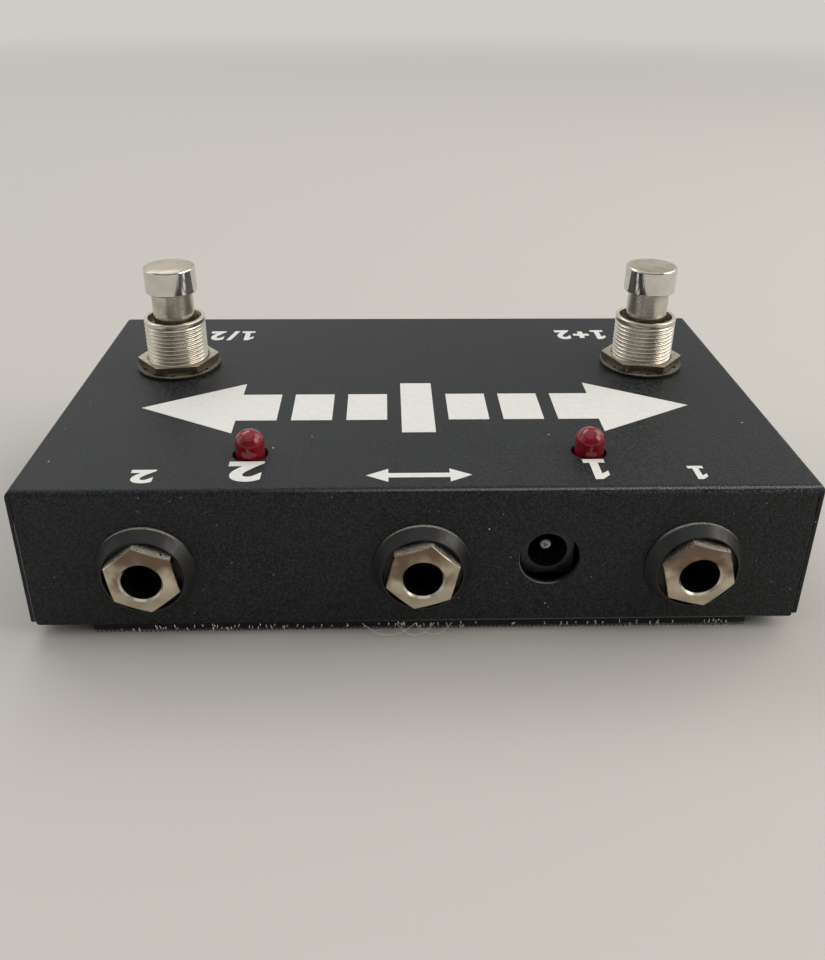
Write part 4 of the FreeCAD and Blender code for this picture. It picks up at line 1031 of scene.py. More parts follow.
@dataclass
class Legends(Assembly):
    """White screen prints on the cover: arrows and plain numbers.

    They stand on their head from the socket side, because the player reads them from the other.

    Attributes:
        top: Height of the cover's top face.
        ink: Thickness of the ink.
        band_middle: Middle of the two large arrows.
        band_height: Height of their heads.
        band_reach: Middle to the arrows' tips.
        gap: Gap between the bar and the shafts, and between the parts of a shaft.
        small_middle: Middle of the small double arrow.
        small_reach: Its middle to its tips.
        small_head: Length of its heads.
        small_half: Half the height of its heads.
        small_line: Half the height of its shaft.
        boldness: How far the numbers' strokes are thickened, for a sign one unit high.
        spacing: Gap between two signs.
        numbers: Name, text, middle, height and width of each number.
    """

    top: float = 28.6
    ink: float = 0.03
    band_middle: Point = (0.5, -9.0)
    band_height: float = 21.0
    band_reach: float = 51.0
    head_length: float = 18.0
    shaft_height: float = 11.0
    bar_width: float = 6.0
    gap: float = 2.6
    small_middle: Point = (0.0, -34.6)
    small_reach: float = 8.6
    small_head: float = 3.6
    small_half: float = 2.1
    small_line: float = 0.7
    boldness: float = 0.045
    spacing: float = 0.1
    numbers: tuple[tuple[str, str, Point, float, float], ...] = (
        ("number_two_large", "2", (-28.3, -33.0), 6.6, 5.8),
        ("number_one_large", "1", (29.2, -33.0), 6.6, 3.6),
        ("number_two_small", "2", (-44.6, -34.4), 4.3, 4.0),
        ("number_one_small", "1", (45.6, -34.4), 4.3, 2.6),
        ("numbers_left_switch", "1/2", (-39.2, 27.6), 5.4, 9.6),
        ("numbers_right_switch", "1+2", (38.2, 27.6), 5.4, 11.0),
    )

    def build(self) -> None:
        """Print the arrows and the numbers."""
        self.hand_over(self.arrows(), Body.BOX, INK)
        for number in self.numbers:
            self.hand_over(self.number(*number), Body.BOX, INK)
        self.hand_over(self.both_ways(), Body.BOX, INK)

    def printed(self, name: str, shape: Shape) -> Piece:
        """Give flat faces the thickness of the ink on the cover.

        Args:
            name: Name of the print.
            shape: Flat faces in millimetres.

        Returns:
            The piece.
        """
        grown_faces = bmesh.ops.extrude_face_region(shape, geom=list(shape.faces))["geom"]
        raised = [item for item in grown_faces if isinstance(item, bmesh.types.BMVert)]
        bmesh.ops.translate(shape, verts=raised, vec=(0, 0, self.ink))
        return solid(name, shape, Matrix.Translation((0, 0, self.top)), smooth=20.0)

    def arrows(self) -> Piece:
        """Draw two arrows that point away from a bar in the middle.

        Returns:
            The print.
        """
        shape = bmesh.new()
        x, y = self.band_middle
        bar, half, thick = self.bar_width / 2, self.band_height / 2, self.shaft_height / 2
        low, high = y - half, y + half
        self.polygon(shape, [(x - bar, low), (x + bar, low), (x + bar, high), (x - bar, high)])
        neck = self.band_reach - self.head_length
        start = bar + self.gap
        block = (neck - start - 2 * self.gap) / 3
        for sign in (-1, 1):
            for k in range(2):
                near = x + sign * (start + k * (block + self.gap))
                far = near + sign * block
                self.polygon(shape, [
                    (near, y - thick), (far, y - thick), (far, y + thick), (near, y + thick)])
            root, base, tip = (
                x + sign * (neck - reach) for reach in (block, 0.0, -self.head_length))
            self.polygon(shape, [
                (root, y - thick), (base, y - thick), (base, low), (tip, y),
                (base, high), (base, y + thick), (root, y + thick)])
        return self.printed("select_arrows", shape)

    def both_ways(self) -> Piece:
        """Draw a small double arrow over the middle socket.

        Returns:
            The print.
        """
        shape = bmesh.new()
        x, y = self.small_middle
        tip, base = self.small_reach, self.small_reach - self.small_head
        half, line = self.small_half, self.small_line
        right = [(base, line), (base, half), (tip, 0), (base, -half), (base, -line)]
        left = [(-px, -py) for px, py in right]
        self.polygon(shape, [(x + px, y + py) for px, py in left[2:] + right + left[:2]])
        return self.printed("both_ways_arrow", shape)

    def polygon(self, shape: Shape, points: Iterable[Point]) -> None:
        """Add a flat face through points."""
        shape.faces.new([shape.verts.new((px, py, 0)) for px, py in points])

    def number(self, name: str, text: str, middle: Point, height: float, width: float) -> Piece:
        """Print plain numbers, upside down.

        Args:
            name: Name of the print.
            text: The numbers.
            middle: Their middle on the cover.
            height: Their height.
            width: Their width.

        Returns:
            The print.
        """
        shape = bmesh.new()
        reach = 0.0
        for sign in text:
            glyph = self.one() if sign == "1" else self.glyph(sign)
            low, high = self.extent(glyph, 0)
            join_in(shape, glyph, Matrix.Translation((reach - low, 0, 0)))
            reach += high - low + self.spacing
        sides = [self.extent(shape, axis) for axis in (0, 1)]
        scale = [size / (high - low) for size, (low, high) in zip((width, height), sides)]
        centre = Matrix.Translation([-(low + high) / 2 for low, high in sides] + [0])
        shape.transform(
            Matrix.Translation((*middle, 0)) @ Matrix.Rotation(math.pi, 4, "Z")
            @ Matrix.Diagonal((*scale, 1.0, 1.0)) @ centre)
        return self.printed(name, shape)

    def extent(self, shape: Shape, axis: int) -> Point:
        """Give the lowest and highest place of a mesh along an axis."""
        places = [vert.co[axis] for vert in shape.verts]
        return min(places), max(places)

    def glyph(self, sign: str) -> Shape:
        """Draw one sign as flat faces.

        Args:
            sign: The sign.

        Returns:
            The mesh, about one unit high.
        """
        letter = bpy.data.curves.new("sign", "FONT")
        letter.body = sign
        letter.offset = self.boldness
        letter.resolution_u = 6
        shape = bmesh.new()
        take_in(shape, mesh_of("sign", letter))
        bmesh.ops.remove_doubles(shape, verts=shape.verts, dist=WELD / 2)
        return shape

    def one(self) -> Shape:
        """Draw a one with a flag and a foot, as high as the other signs.

        Returns:
            The mesh.
        """
        low, high, foot, wide = -0.045, 0.736, 0.1, 0.46
        left, right = 0.15, 0.33
        shape = bmesh.new()
        self.polygon(shape, [
            (0.0, low), (wide, low), (wide, foot), (right, foot), (right, high),
            (left + 0.02, high), (0.0, high - 0.16), (0.0, high - 0.32), (left, high - 0.21),
            (left, foot), (0.0, foot)])
        return shape


@dataclass
class FootSwitch(Assembly):
    """One latching foot switch. Heights and drops count from the cover's top face.

    Attributes:
        x: Place of its axis, left to right.
        nut_turn: How far its dress nut was turned, in degrees.
        y: Place of its axis, front to back.
        panel: Height of the cover's top face.
        bush_low: Drop of the bushing's underside.
        bush_wall: Rim round the recess.
        recess_depth: Recess round the neck.
        guide_radius: Bore that guides the neck.
        pitch: Pitch of the thread, 32 to the inch.
        turn_rings: Rings of the mesh in one turn of the thread.
        rim: Plain rim above the thread.
        cap_low: Underside of the cap.
        cap_crown: Rise of its top.
        shoulder_radius: Shoulder that stops the button.
        stem_radius: Stem through the spring.
        washer_sheet: Tooth washer under the nut.
        travel: How far the button goes down; not used.
    """

    side: Side
    x: float
    nut_turn: float
    y: float = 11.0
    panel: float = 28.6
    bush_radius: float = 5.95
    bush_low: float = 3.6
    bush_rise: float = 10.8
    bush_wall: float = 0.75
    bush_crown: float = 0.25
    recess_depth: float = 6.0
    guide_radius: float = 4.05
    pitch: float = 0.794
    thread_depth: float = 0.36
    turn_rings: int = 10
    rim: float = 0.75
    neck_radius: float = 4.0
    cap_radius: float = 5.0
    cap_low: float = 16.1
    cap_height: float = 5.3
    cap_crown: float = 0.3
    cap_round: float = 0.45
    cap_foot_round: float = 0.25
    shoulder_radius: float = 4.8
    shoulder_drop: float = 3.7
    shoulder_height: float = 0.9
    stem_radius: float = 1.4
    stem_drop: float = 11.1
    stem_chamfer: float = 0.2
    nut_across: float = 14.0
    nut_height: float = 1.7
    nut_chamfer: float = 0.25
    washer_sheet: float = 0.7
    travel: float = 4.0

    def build(self) -> None:
        """Make what shows above the cover and keep the rest."""
        side = self.side.value
        self.hand_over(self.bushing(), Body.BOX, NICKEL_THREAD, side + "_bushing")
        self.hand_over(self.dress_nut(), Body.BOX, NICKEL, side + "_dress_nut")
        body = Body.LEFT_BUTTON if self.side is Side.LEFT else Body.RIGHT_BUTTON
        self.hand_over(self.button(), body, CHROME, side + "_button")
        for finish, part in (
            (NICKEL_DULL, "_tooth_washer"), (NICKEL, "_backing_nut"), (ZINC, "_switch_frame"),
            (CASE_BLUE, "_switch_case"), (LAMINATE, "_terminal_board"), (TINNED, "_solder_lugs"),
            (TINNED, "_contact_rocker"), (SHEATH, "_switch_leads"),
        ):
            self.keep(finish, side + part)
        self.coil()

    def place(self, turn: float = 0.0) -> Matrix:
        """Give the switch axis at the cover's top face, turned by degrees."""
        axis = Matrix.Translation((self.x, self.y, self.panel))
        return axis @ Matrix.Rotation(math.radians(turn), 4, "Z")

    def bushing(self) -> Piece:
        """Make the threaded bushing with its recess.

        Returns:
            The piece.
        """
        inner = self.bush_radius - self.bush_wall
        crown, top, floor = self.bush_crown, self.bush_rise, self.bush_rise - self.recess_depth
        step = self.pitch / self.turn_rings
        rings = round((self.bush_low + top - self.rim) / self.pitch * self.turn_rings)
        outline: list[Ring] = [(self.guide_radius, -self.bush_low)]
        outline += [(self.bush_radius, k * step - self.bush_low) for k in range(rings + 1)]
        outline += arc((self.bush_radius - crown, top - crown), crown, 0, 90)
        outline += arc((inner + crown / 2, top - crown / 2), crown / 2, 90, 180, 4)
        outline += [(inner, floor), (self.guide_radius, floor)]
        bushing = solid(self.side.value + "_threaded_bushing", turned(outline, 120), self.place())
        grown(bushing, "screw_thread", thread_tree, {
            "Axis": (self.x * MM, self.y * MM, self.panel * MM),
            "Crest": (self.bush_radius - 0.01) * MM,
            "Pitch": self.pitch * MM,
            "Depth": self.thread_depth * MM,
            "Low": -self.bush_low * MM,
            "High": (self.bush_rise - self.rim) * MM,
            "Finish": NICKEL_THREAD.material(),
        })
        bushing.data.set_sharp_from_angle(angle=math.radians(70))
        return bushing

    def dress_nut(self) -> Piece:
        """Make the hexagon nut, chamfered below.

        Returns:
            The piece.
        """
        flat = self.nut_across / 2
        outline: list[Ring] = [
            (self.bush_radius, 0.0),
            (flat, 0.0),
            (None, lambda reach: (reach - flat) / 2),
            (None, self.nut_height),
            (self.bush_radius + self.nut_chamfer, self.nut_height),
            (self.bush_radius, self.nut_height - self.nut_chamfer),
        ]
        shape = turned(outline, 144, hexagon(self.nut_across, flat + 1.0))
        place = self.place(self.nut_turn) @ Matrix.Translation((0, 0, self.washer_sheet))
        return solid(self.side.value + "_hexagon_nut", shape, place, ease=0.12)

    def button(self) -> Piece:
        """Make the button: cap, neck, shoulder and stem in one.

        Returns:
            The piece.
        """
        top = self.cap_low + self.cap_height
        edge = top - self.cap_crown
        crown_radius = (self.cap_radius ** 2 + self.cap_crown ** 2) / (2 * self.cap_crown)
        low = -self.shoulder_drop - self.shoulder_height
        outline: list[Ring] = [
            (0.0, -self.stem_drop),
            (self.stem_radius - self.stem_chamfer, -self.stem_drop),
            (self.stem_radius, self.stem_chamfer - self.stem_drop),
            (self.stem_radius, low),
            (self.shoulder_radius, low),
            (self.shoulder_radius, -self.shoulder_drop),
            (self.neck_radius, -self.shoulder_drop),
            (self.neck_radius, self.cap_low),
        ]
        foot, bend = self.cap_foot_round, self.cap_round
        outline += arc((self.cap_radius - foot, self.cap_low + foot), foot, -90, 0, 4)
        outline += arc((self.cap_radius - bend, edge - bend), bend, 0, 80, 8)
        for k in range(5, -1, -1):
            reach = (self.cap_radius - bend) * k / 6
            outline.append((reach, top - crown_radius + math.sqrt(crown_radius ** 2 - reach ** 2)))
        button = solid(self.side.value + "_push_button", turned(outline, 120), self.place())
        button.data.materials.append(CHROME.material())
        paint(button, TURNED_STEEL, lambda middle: middle.z < self.panel + self.cap_low - 0.01)
        paint(button, WORN_CHROME, lambda middle: middle.z > self.panel + edge - 0.1)
        return button

    def coil(self) -> None:
        """Make the return spring again from its imported solid, with its own mesh."""
        side = self.side.value
        name = side + "_return_spring"
        coil = solid(side + "_coil_spring", clean_copy(self.nodes[name]))
        self.hand_over(coil, Body.BOX, SPRING, name)
        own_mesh(coil)


# Where a flank starts and ends, in pitches from the middle of the crest
FLANK = (0.08, 0.44)
# How far the thread runs out at each end, in pitches
RUN_OUT = 0.8


def thread_tree(name: str) -> Tree:
    """Build the tree that cuts a screw thread into a plain cylinder.

    Args:
        name: Name of the tree.

    Returns:
        The geometry tree.
    """
    tree, given = start_tree(name, {
        "Axis": "Vector", "Crest": "Float", "Pitch": "Float", "Depth": "Float", "Low": "Float",
        "High": "Float", "Finish": "Material"})
    sums = Wiring(tree)
    position = add_node(tree, "GeometryNodeInputPosition").outputs[0]
    inside = {0: position, 1: given["Axis"]}
    offset = add_node(tree, "ShaderNodeVectorMath", {"operation": "SUBTRACT"}, inside).outputs[0]
    x, y, z = sums.axes(offset)
    reach = sums.maths("SQRT", sums.total(sums.product(x, x), sums.product(y, y)))
    turn = sums.maths("DIVIDE", sums.maths("ARCTAN2", y, x), FULL_TURN)
    phase = sums.maths("SUBTRACT", sums.maths("DIVIDE", z, given["Pitch"]), turn)
    groove = sums.ramp(sums.maths("PINGPONG", phase, 0.5), *FLANK)
    run_out = sums.product(given["Pitch"], RUN_OUT)
    start = sums.ramp(z, given["Low"], sums.total(given["Low"], run_out))
    end = sums.ramp(z, given["High"], sums.maths("SUBTRACT", given["High"], run_out))
    depth = sums.product(groove, given["Depth"], sums.product(start, end))
    share = sums.maths("DIVIDE", sums.product(depth, -1.0), reach)
    flat = add_node(tree, "ShaderNodeCombineXYZ", inputs={0: x, 1: y}).outputs[0]
    scaled = {0: flat, "Scale": share}
    move = add_node(tree, "ShaderNodeVectorMath", {"operation": "SCALE"}, scaled).outputs[0]
    limits = {0: reach, 1: given["Crest"]}
    outside = add_node(tree, "FunctionNodeCompare", {"operation": "GREATER_THAN"}, limits)
    cut = add_node(tree, "GeometryNodeSetPosition", inputs={
        "Geometry": given["Geometry"], "Selection": outside.outputs[0], "Offset": move})
    dressed = real_mesh(tree, cut.outputs[0], given["Finish"])
    add_node(tree, "NodeGroupOutput", inputs={0: dressed})
    return tree


@dataclass
class JackSocket(Assembly):
    """One quarter-inch socket: its washer and nut in front of the cover, its works behind.

    Attributes:
        x: Place of its axis, left to right.
        nut_turn: How far its nut was turned, in degrees.
        z: Height of its axis.
        front: Front face of the cover.
        washer_foot: Radius of the washer on the cover.
        washer_edge: Straight edge at its foot.
        lip_radius: Outer radius of its front edge.
        bowl_radius: Bowl that the nut sits in.
        nut_height: Height of the nut's head at its corners.
        nut_rise: How far the mouth stands in front of the corners.
        nut_rim: Flat rim round the mouth.
        broken_edge: Narrow bevel that takes the sharpness off its edges.
        sleeve_depth: Threaded sleeve behind the cover's face.
        bore: Radius of the bore for the plug.
        flare: Widening at the mouth.
        bright: Stretch of the bore behind the flare before the painted shade starts.
    """

    side: Side
    x: float
    nut_turn: float
    z: float = 13.8
    front: float = -39.0
    washer_hole: float = 4.95
    washer_foot: float = 8.2
    washer_edge: float = 0.5
    washer_height: float = 2.4
    lip_radius: float = 6.8
    bowl_radius: float = 6.6
    bowl_floor: float = 1.2
    nut_across: float = 11.0
    nut_height: float = 2.0
    nut_rise: float = 0.7
    nut_rim: float = 0.1
    broken_edge: float = 0.12
    sleeve_radius: float = 4.2
    sleeve_depth: float = 6.0
    bore: float = 3.25
    flare: float = 0.32
    bright: float = 0.45

    def build(self) -> None:
        """Make the washer and the nut and keep the rest."""
        side = self.side.value
        self.hand_over(self.washer(), Body.BOX, NYLON, side + "_cone_washer")
        self.hand_over(self.nut(), Body.BOX, NICKEL_NUT, side + "_ferrule_nut")
        self.keep(SOCKET_PLASTIC, side + "_jack_body")
        self.keep(TINNED, side + "_jack_terminals")
        self.keep(SPRING, side + "_tip_spring")

    def place(self, turn: float = 0.0) -> Matrix:
        """Give the socket's axis at the cover's face, pointing out.

        Args:
            turn: Turn round it, in degrees.

        Returns:
            The place.
        """
        outwards = Matrix.Rotation(math.pi / 2, 4, "X")
        spin = Matrix.Rotation(math.radians(turn), 4, "Z")
        return Matrix.Translation((self.x, self.front, self.z)) @ outwards @ spin

    def washer(self) -> Piece:
        """Make the conical washer with its bowl.

        Returns:
            The piece.
        """
        outline: list[Ring] = [
            (self.washer_hole, 0.0),
            (self.washer_foot, 0.0),
            (self.washer_foot, self.washer_edge),
            (self.lip_radius, self.washer_height),
            (self.bowl_radius, self.washer_height),
            (self.bowl_radius, self.bowl_floor),
            (self.washer_hole, self.bowl_floor),
        ]
        name = self.side.value + "_nylon_washer"
        washer = solid(name, turned(outline), self.place(), ease=0.09, smooth=25.0)
        washer.data.materials.append(NYLON.material())
        paint(washer, NYLON_EDGE, lambda middle: self.reach(middle) > self.washer_foot - 0.13)
        return washer

    def reach(self, point: Vector) -> float:
        """Give the distance of a point from the socket's axis."""
        return math.hypot(point.x - self.x, point.z - self.z)

    def nut(self) -> Piece:
        """Make the hexagon nut with its sleeve and flared bore, with painted shade deep in the
        bore.

        Returns:
            The piece.
        """
        face = self.bowl_floor + self.nut_height + self.nut_rise
        mouth = self.bore + self.flare + self.nut_rim
        slope = self.nut_rise / (self.nut_across / math.sqrt(3) - mouth)
        outline: list[Ring] = [
            (self.bore, -self.sleeve_depth),
            (self.sleeve_radius, -self.sleeve_depth),
            (self.sleeve_radius, self.bowl_floor),
            (None, self.bowl_floor),
            (None, lambda reach: face - slope * (reach - mouth) - self.broken_edge),
            (-self.broken_edge, lambda reach: face - slope * (reach - mouth)),
            (self.bore + self.flare, face),
            (self.bore, face - self.flare),
            (self.bore, face - self.flare - self.bright),
        ]
        shape = turned(outline, 144, hexagon(self.nut_across, self.nut_across))
        nut = solid(self.side.value + "_socket_nut", shape, self.place(self.nut_turn), smooth=30.0)
        nut.data.materials.append(NICKEL_NUT.material())
        paint(nut, NICKEL_THREAD, lambda middle: self.reach(middle) < self.bore + self.flare)
        inside = self.front - face + self.flare + self.bright
        # Deeper in the bore, painted shade
        paint(nut, BORE_SHADE, lambda middle: (
            self.reach(middle) < self.bore + 0.05 and middle.y > inside))
        return nut


@dataclass
class PowerSocket(Assembly):
    """The round power socket behind its hole.

    Attributes:
        x: Place of its pin, left to right.
        z: Height of its pin.
        tip: Front end of the pin.
        root: Back end of the pin.
        radius: Radius of the pin.
        dimple: Radius of the dimple in its tip.
        ease: Rounding of its tip.
    """

    x: float = 21.5
    z: float = 15.1
    tip: float = -34.9
    root: float = -25.95
    radius: float = 1.0
    dimple: float = 0.32
    ease: float = 0.36

    def build(self) -> None:
        """Make the socket with eased edges and the pin, and keep the spring."""
        shape = clean_copy(self.nodes["power_socket"])
        socket = solid("power_inlet", shape, ease=0.13, smooth=32.0, held=False)
        self.hand_over(socket, Body.BOX, SOCKET_PLASTIC, "power_socket")
        self.keep(SPRING, "power_spring")
        self.hand_over(self.pin(), Body.BOX, PIN, "power_pin")

    def pin(self) -> Piece:
        """Make the pin with a rounded, dimpled tip, and painted shade on its shaft.

        Returns:
            The piece.
        """
        length = self.root - self.tip
        outline: list[Ring] = [(0.0, 0.0), (self.radius, 0.0)]
        outline += arc((self.radius - self.ease, length - self.ease), self.ease, 0, 90)
        outline += [(self.dimple + 0.08, length)]
        for turn in (12, 30, 50, 70):
            angle = math.radians(turn)
            outline.append((self.dimple * math.cos(angle), length - self.dimple * math.sin(angle)))
        outline += [(0.0, length - self.dimple)]
        root = Matrix.Translation((self.x, self.root, self.z))
        pin = solid("centre_pin", turned(outline, 48), root @ Matrix.Rotation(math.pi / 2, 4, "X"))
        pin.data.materials.append(PIN.material())
        # The pin's shaft behind its tip gets painted shade
        paint(pin, BORE_SHADE, lambda middle: middle.y > self.tip + self.ease)
        return pin


@dataclass
class Lamp(Assembly):
    """One red lamp: a cast lens with its metal frame inside.

    Attributes:
        x: Place of its axis, left to right.
        y: Place of its axis, front to back.
        foot: Height of its underside.
        rim: Rim at the foot, past the lens.
        height: Foot to crown.
        pitch: Between its two wires.
        posts: Side, width and height of the two posts in the resin.
        post_sheet: Thickness of their sheet.
        clear: Height of the posts' feet over the lens's foot.
        cup: Outline of the cup that holds the chip.
    """

    side: Side
    x: float
    y: float = -26.8
    foot: float = 24.4
    radius: float = 2.5
    rim: float = 0.45
    rim_height: float = 1.0
    rim_chamfer: float = 0.1
    height: float = 8.6
    pitch: float = 2.54
    posts: tuple[Place, Place] = ((-1, 1.3, 4.2), (1, 0.7, 4.6))
    post_sheet: float = 0.45
    clear: float = 0.4
    cup: tuple[Point, ...] = (
        (0.0, 3.6), (0.55, 3.6), (1.0, 4.7), (0.85, 4.75), (0.45, 4.0), (0.0, 4.0))

    def build(self) -> None:
        """Make the lens and the frame in it."""
        self.hand_over(self.lens(), Body.BOX, RESIN, self.side.value + "_lamp")
        self.hand_over(self.frame(), Body.BOX, TINNED)

    def place(self) -> Matrix:
        """Give the lamp's axis at its underside."""
        return Matrix.Translation((self.x, self.y, self.foot))

    def lens(self) -> Piece:
        """Make the lens: rim, barrel and dome.

        Returns:
            The piece.
        """
        outer = self.radius + self.rim
        outline: list[Ring] = [
            (0.0, 0.0), (outer, 0.0), (outer, self.rim_height - self.rim_chamfer),
            (outer - self.rim_chamfer, self.rim_height), (self.radius, self.rim_height)]
        outline += arc((0.0, self.height - self.radius), self.radius, 0, 90, 16)
        return solid(self.side.value + "_lamp_lens", turned(outline, 64), self.place())

    def frame(self) -> Piece:
        """Make the cup and the posts that stand in the resin.

        Returns:
            The piece.
        """
        shape = bmesh.new()
        for sign, width, rise in self.posts:
            size = Matrix.Diagonal((width, self.post_sheet, rise - self.clear, 1.0))
            x = sign * (self.pitch / 2 - width / 4)
            middle = Matrix.Translation((x, 0, self.clear / 2 + rise / 2))
            bmesh.ops.create_cube(shape, size=1.0, matrix=middle @ size)
        join_in(shape, turned(self.cup, 32), Matrix.Translation((-0.5, 0, 0)))
        return solid(self.side.value + "_lamp_frame", shape, self.place(), ease=0.05)


@dataclass
class HookTape(Assembly):
    """Three strips of hook tape under the base, with lint caught in them.

    Attributes:
        width: Width of a strip.
        fray: How far the front strip's edge frays forward.
        pitch: Between hooks.
        backing: Thickness of the woven backing.
        wire: Radius of a hook's filament.
        seed: Start of the random turns and places.
        edge: Front edge that the lint hangs from.
        held: Height at which the long hairs are caught.
        bow: How far their middles stand forward.
        loops: Left end, right end and sag of the long hairs.
        dips: Share of the way along a long hair, and share of its sag there.
        loop_radius: Radius of a long hair.
        bits: How many short hairs there are.
        bit_radius: Radius of a short hair.
    """

    width: float = 24.0
    fray: float = 0.35
    pitch: float = 0.75
    backing: float = 2.0
    wire: float = 0.06
    seed: int = 7
    edge: float = -39.2
    held: float = 2.35
    bow: float = 1.1
    loops: tuple[Place, ...] = ((-3.7, 2.7, 2.2), (-0.6, 5.7, 2.0), (-9.5, -0.5, 2.1))
    dips: tuple[Point, ...] = ((0.0, 0.0), (0.22, 0.75), (0.5, 1.0), (0.78, 0.7), (1.0, 0.0))
    loop_radius: float = 0.045
    bits: int = 90
    bit_radius: float = 0.065

    def build(self) -> None:
        """Make each strip, then the lint."""
        low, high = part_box("hook_tapes")
        gap = (high.y - low.y) / MM - 3 * self.width
        for k, name in enumerate(("front", "middle", "back")):
            start = low.y / MM + k * (self.width + gap / 2)
            front = start - (self.fray if name == "front" else 0.0)
            strip = self.strip(
                name + "_hook_strip", (low.x / MM, high.x / MM), (front, start + self.width),
                high.z / MM)
            self.hand_over(strip, Body.BOX, HOOK_NYLON, "hook_tapes")
        self.hand_over(self.lint(), Body.BOX, LINT)

    def strip(self, name: str, ends: Point, edges: Point, top: float) -> Piece:
        """Make one strip of tape, hooks down.

        Args:
            name: Name of the piece.
            ends: Its left and right ends.
            edges: Its front and back edges.
            top: Top of the backing.

        Returns:
            The piece.
        """
        shape = bmesh.new()
        length, width = ends[1] - ends[0], edges[1] - edges[0]
        x, y, hang = sum(ends) / 2, sum(edges) / 2, top - self.backing
        place = Matrix.Translation((x, y, top - self.backing / 2))
        bmesh.ops.create_cube(
            shape, size=1.0, matrix=place @ Matrix.Diagonal((length, width, self.backing, 1.0)))
        piece = solid(name, shape, ease=0.15)
        piece.data.materials.append(TAPE_WEAVE.material())
        return grown(piece, "tape_hooks", hook_tree, {
            "Middle": (x * MM, y * MM, hang * MM),
            "Length": (length - self.pitch) * MM,
            "Width": (width - 0.3 * self.pitch) * MM,
            "Rows along": round(length / self.pitch),
            "Rows across": round(width / self.pitch),
            "Drop": hang * MM,
            "Wire": self.wire * MM,
            "Seed": self.seed,
            "Finish": HOOK_NYLON.material(),
        })

    def lint(self) -> Piece:
        """Make a few hairs that hang in the hooks under the front edge.

        Returns:
            The piece.
        """
        shape = bmesh.new()
        for points, thick in self.hairs():
            line = bpy.data.curves.new("hair", "CURVE")
            line.dimensions = "3D"
            line.bevel_depth = thick
            line.bevel_resolution = 0
            line.resolution_u = 6
            spline = line.splines.new("NURBS")
            spline.points.add(len(points) - 1)
            for point, place in zip(spline.points, points):
                point.co = (*place, 1.0)
            spline.use_endpoint_u = True
            spline.order_u = min(4, len(points))
            take_in(shape, mesh_of("hair", line))
        return solid("lint_hairs", shape)

    def hairs(self) -> Iterable[tuple[list[Place], float]]:
        """Lay the hairs: three long loops under the front edge and short bits all along it.

        Returns:
            The points of each hair and its radius.
        """
        for left, right, sag in self.loops:
            points = []
            for share, dip in self.dips:
                y = self.edge - self.bow * math.sin(math.pi * share)
                points.append((left + (right - left) * share, y, self.held - sag * dip))
            yield points, self.loop_radius
        chance = Random(self.seed)
        for _ in range(self.bits):
            x = chance.uniform(-50.0, 54.0)
            y = self.edge + chance.uniform(-0.1, 0.2)
            z = chance.uniform(1.9, 2.55)
            lean = chance.uniform(-0.12, 0.12)
            drop = chance.uniform(0.25, 0.75)
            points = [(x, y, z), (x + lean, y - 0.1, z - drop / 2), (x + 2 * lean, y, z - drop)]
            yield points, self.bit_radius


def hook_tree(name: str) -> Tree:
    """Build the tree that covers the underside of a strip with hooks.

    Args:
        name: Name of the tree.

    Returns:
        The geometry tree.
    """
    tree, given = start_tree(name, {
        "Middle": "Vector", "Length": "Float", "Width": "Float", "Rows along": "Int",
        "Rows across": "Int", "Drop": "Float", "Wire": "Float", "Seed": "Int",
        "Finish": "Material"})
    sums = Wiring(tree)
    grid = add_node(tree, "GeometryNodeMeshGrid", inputs={
        "Size X": given["Length"], "Size Y": given["Width"],
        "Vertices X": given["Rows along"], "Vertices Y": given["Rows across"]})
    raised = add_node(tree, "GeometryNodeTransform", inputs={
        "Geometry": grid.outputs["Mesh"], "Translation": given["Middle"]})
    # One hook hangs a unit down and bends back at its tip
    bend = add_node(tree, "GeometryNodeCurvePrimitiveBezierSegment", inputs={
        "Resolution": 5, "Start": (0.0, 0.0, 0.0), "Start Handle": (-0.15, 0.0, -1.12),
        "End Handle": (0.75, 0.0, -1.15), "End": (0.5, 0.0, -0.5)})
    section = add_node(tree, "GeometryNodeCurvePrimitiveCircle", inputs={"Resolution": 3})
    thin = sums.maths("DIVIDE", given["Wire"], given["Drop"])
    across = add_node(tree, "ShaderNodeCombineXYZ", inputs={0: thin, 1: thin, 2: 1.0})
    sized = add_node(tree, "GeometryNodeTransform", inputs={
        "Geometry": section.outputs["Curve"], "Scale": across.outputs[0]})
    hook = add_node(tree, "GeometryNodeCurveToMesh", inputs={
        "Curve": bend.outputs["Curve"], "Profile Curve": sized.outputs[0], "Fill Caps": True})
    turn = add_node(tree, "FunctionNodeRandomValue", {"data_type": "FLOAT_VECTOR"}, {
        "Min": (-0.12, -0.12, -0.5), "Max": (0.12, 0.12, 0.5), "Seed": given["Seed"]})
    size = add_node(tree, "FunctionNodeRandomValue", {"data_type": "FLOAT"}, {
        2: 0.88, 3: 0.99, "Seed": given["Seed"]})
    hooks = add_node(tree, "GeometryNodeInstanceOnPoints", inputs={
        "Points": raised.outputs[0], "Instance": hook.outputs[0], "Rotation": turn.outputs[0],
        "Scale": sums.product(size.outputs[1], given["Drop"])})
    dressed = real_mesh(tree, hooks.outputs[0], given["Finish"])
    joined = add_node(tree, "GeometryNodeJoinGeometry", inputs={0: given["Geometry"]})
    feed(tree, joined, {0: dressed})
    add_node(tree, "NodeGroupOutput", inputs={0: joined.outputs[0]})
    return tree


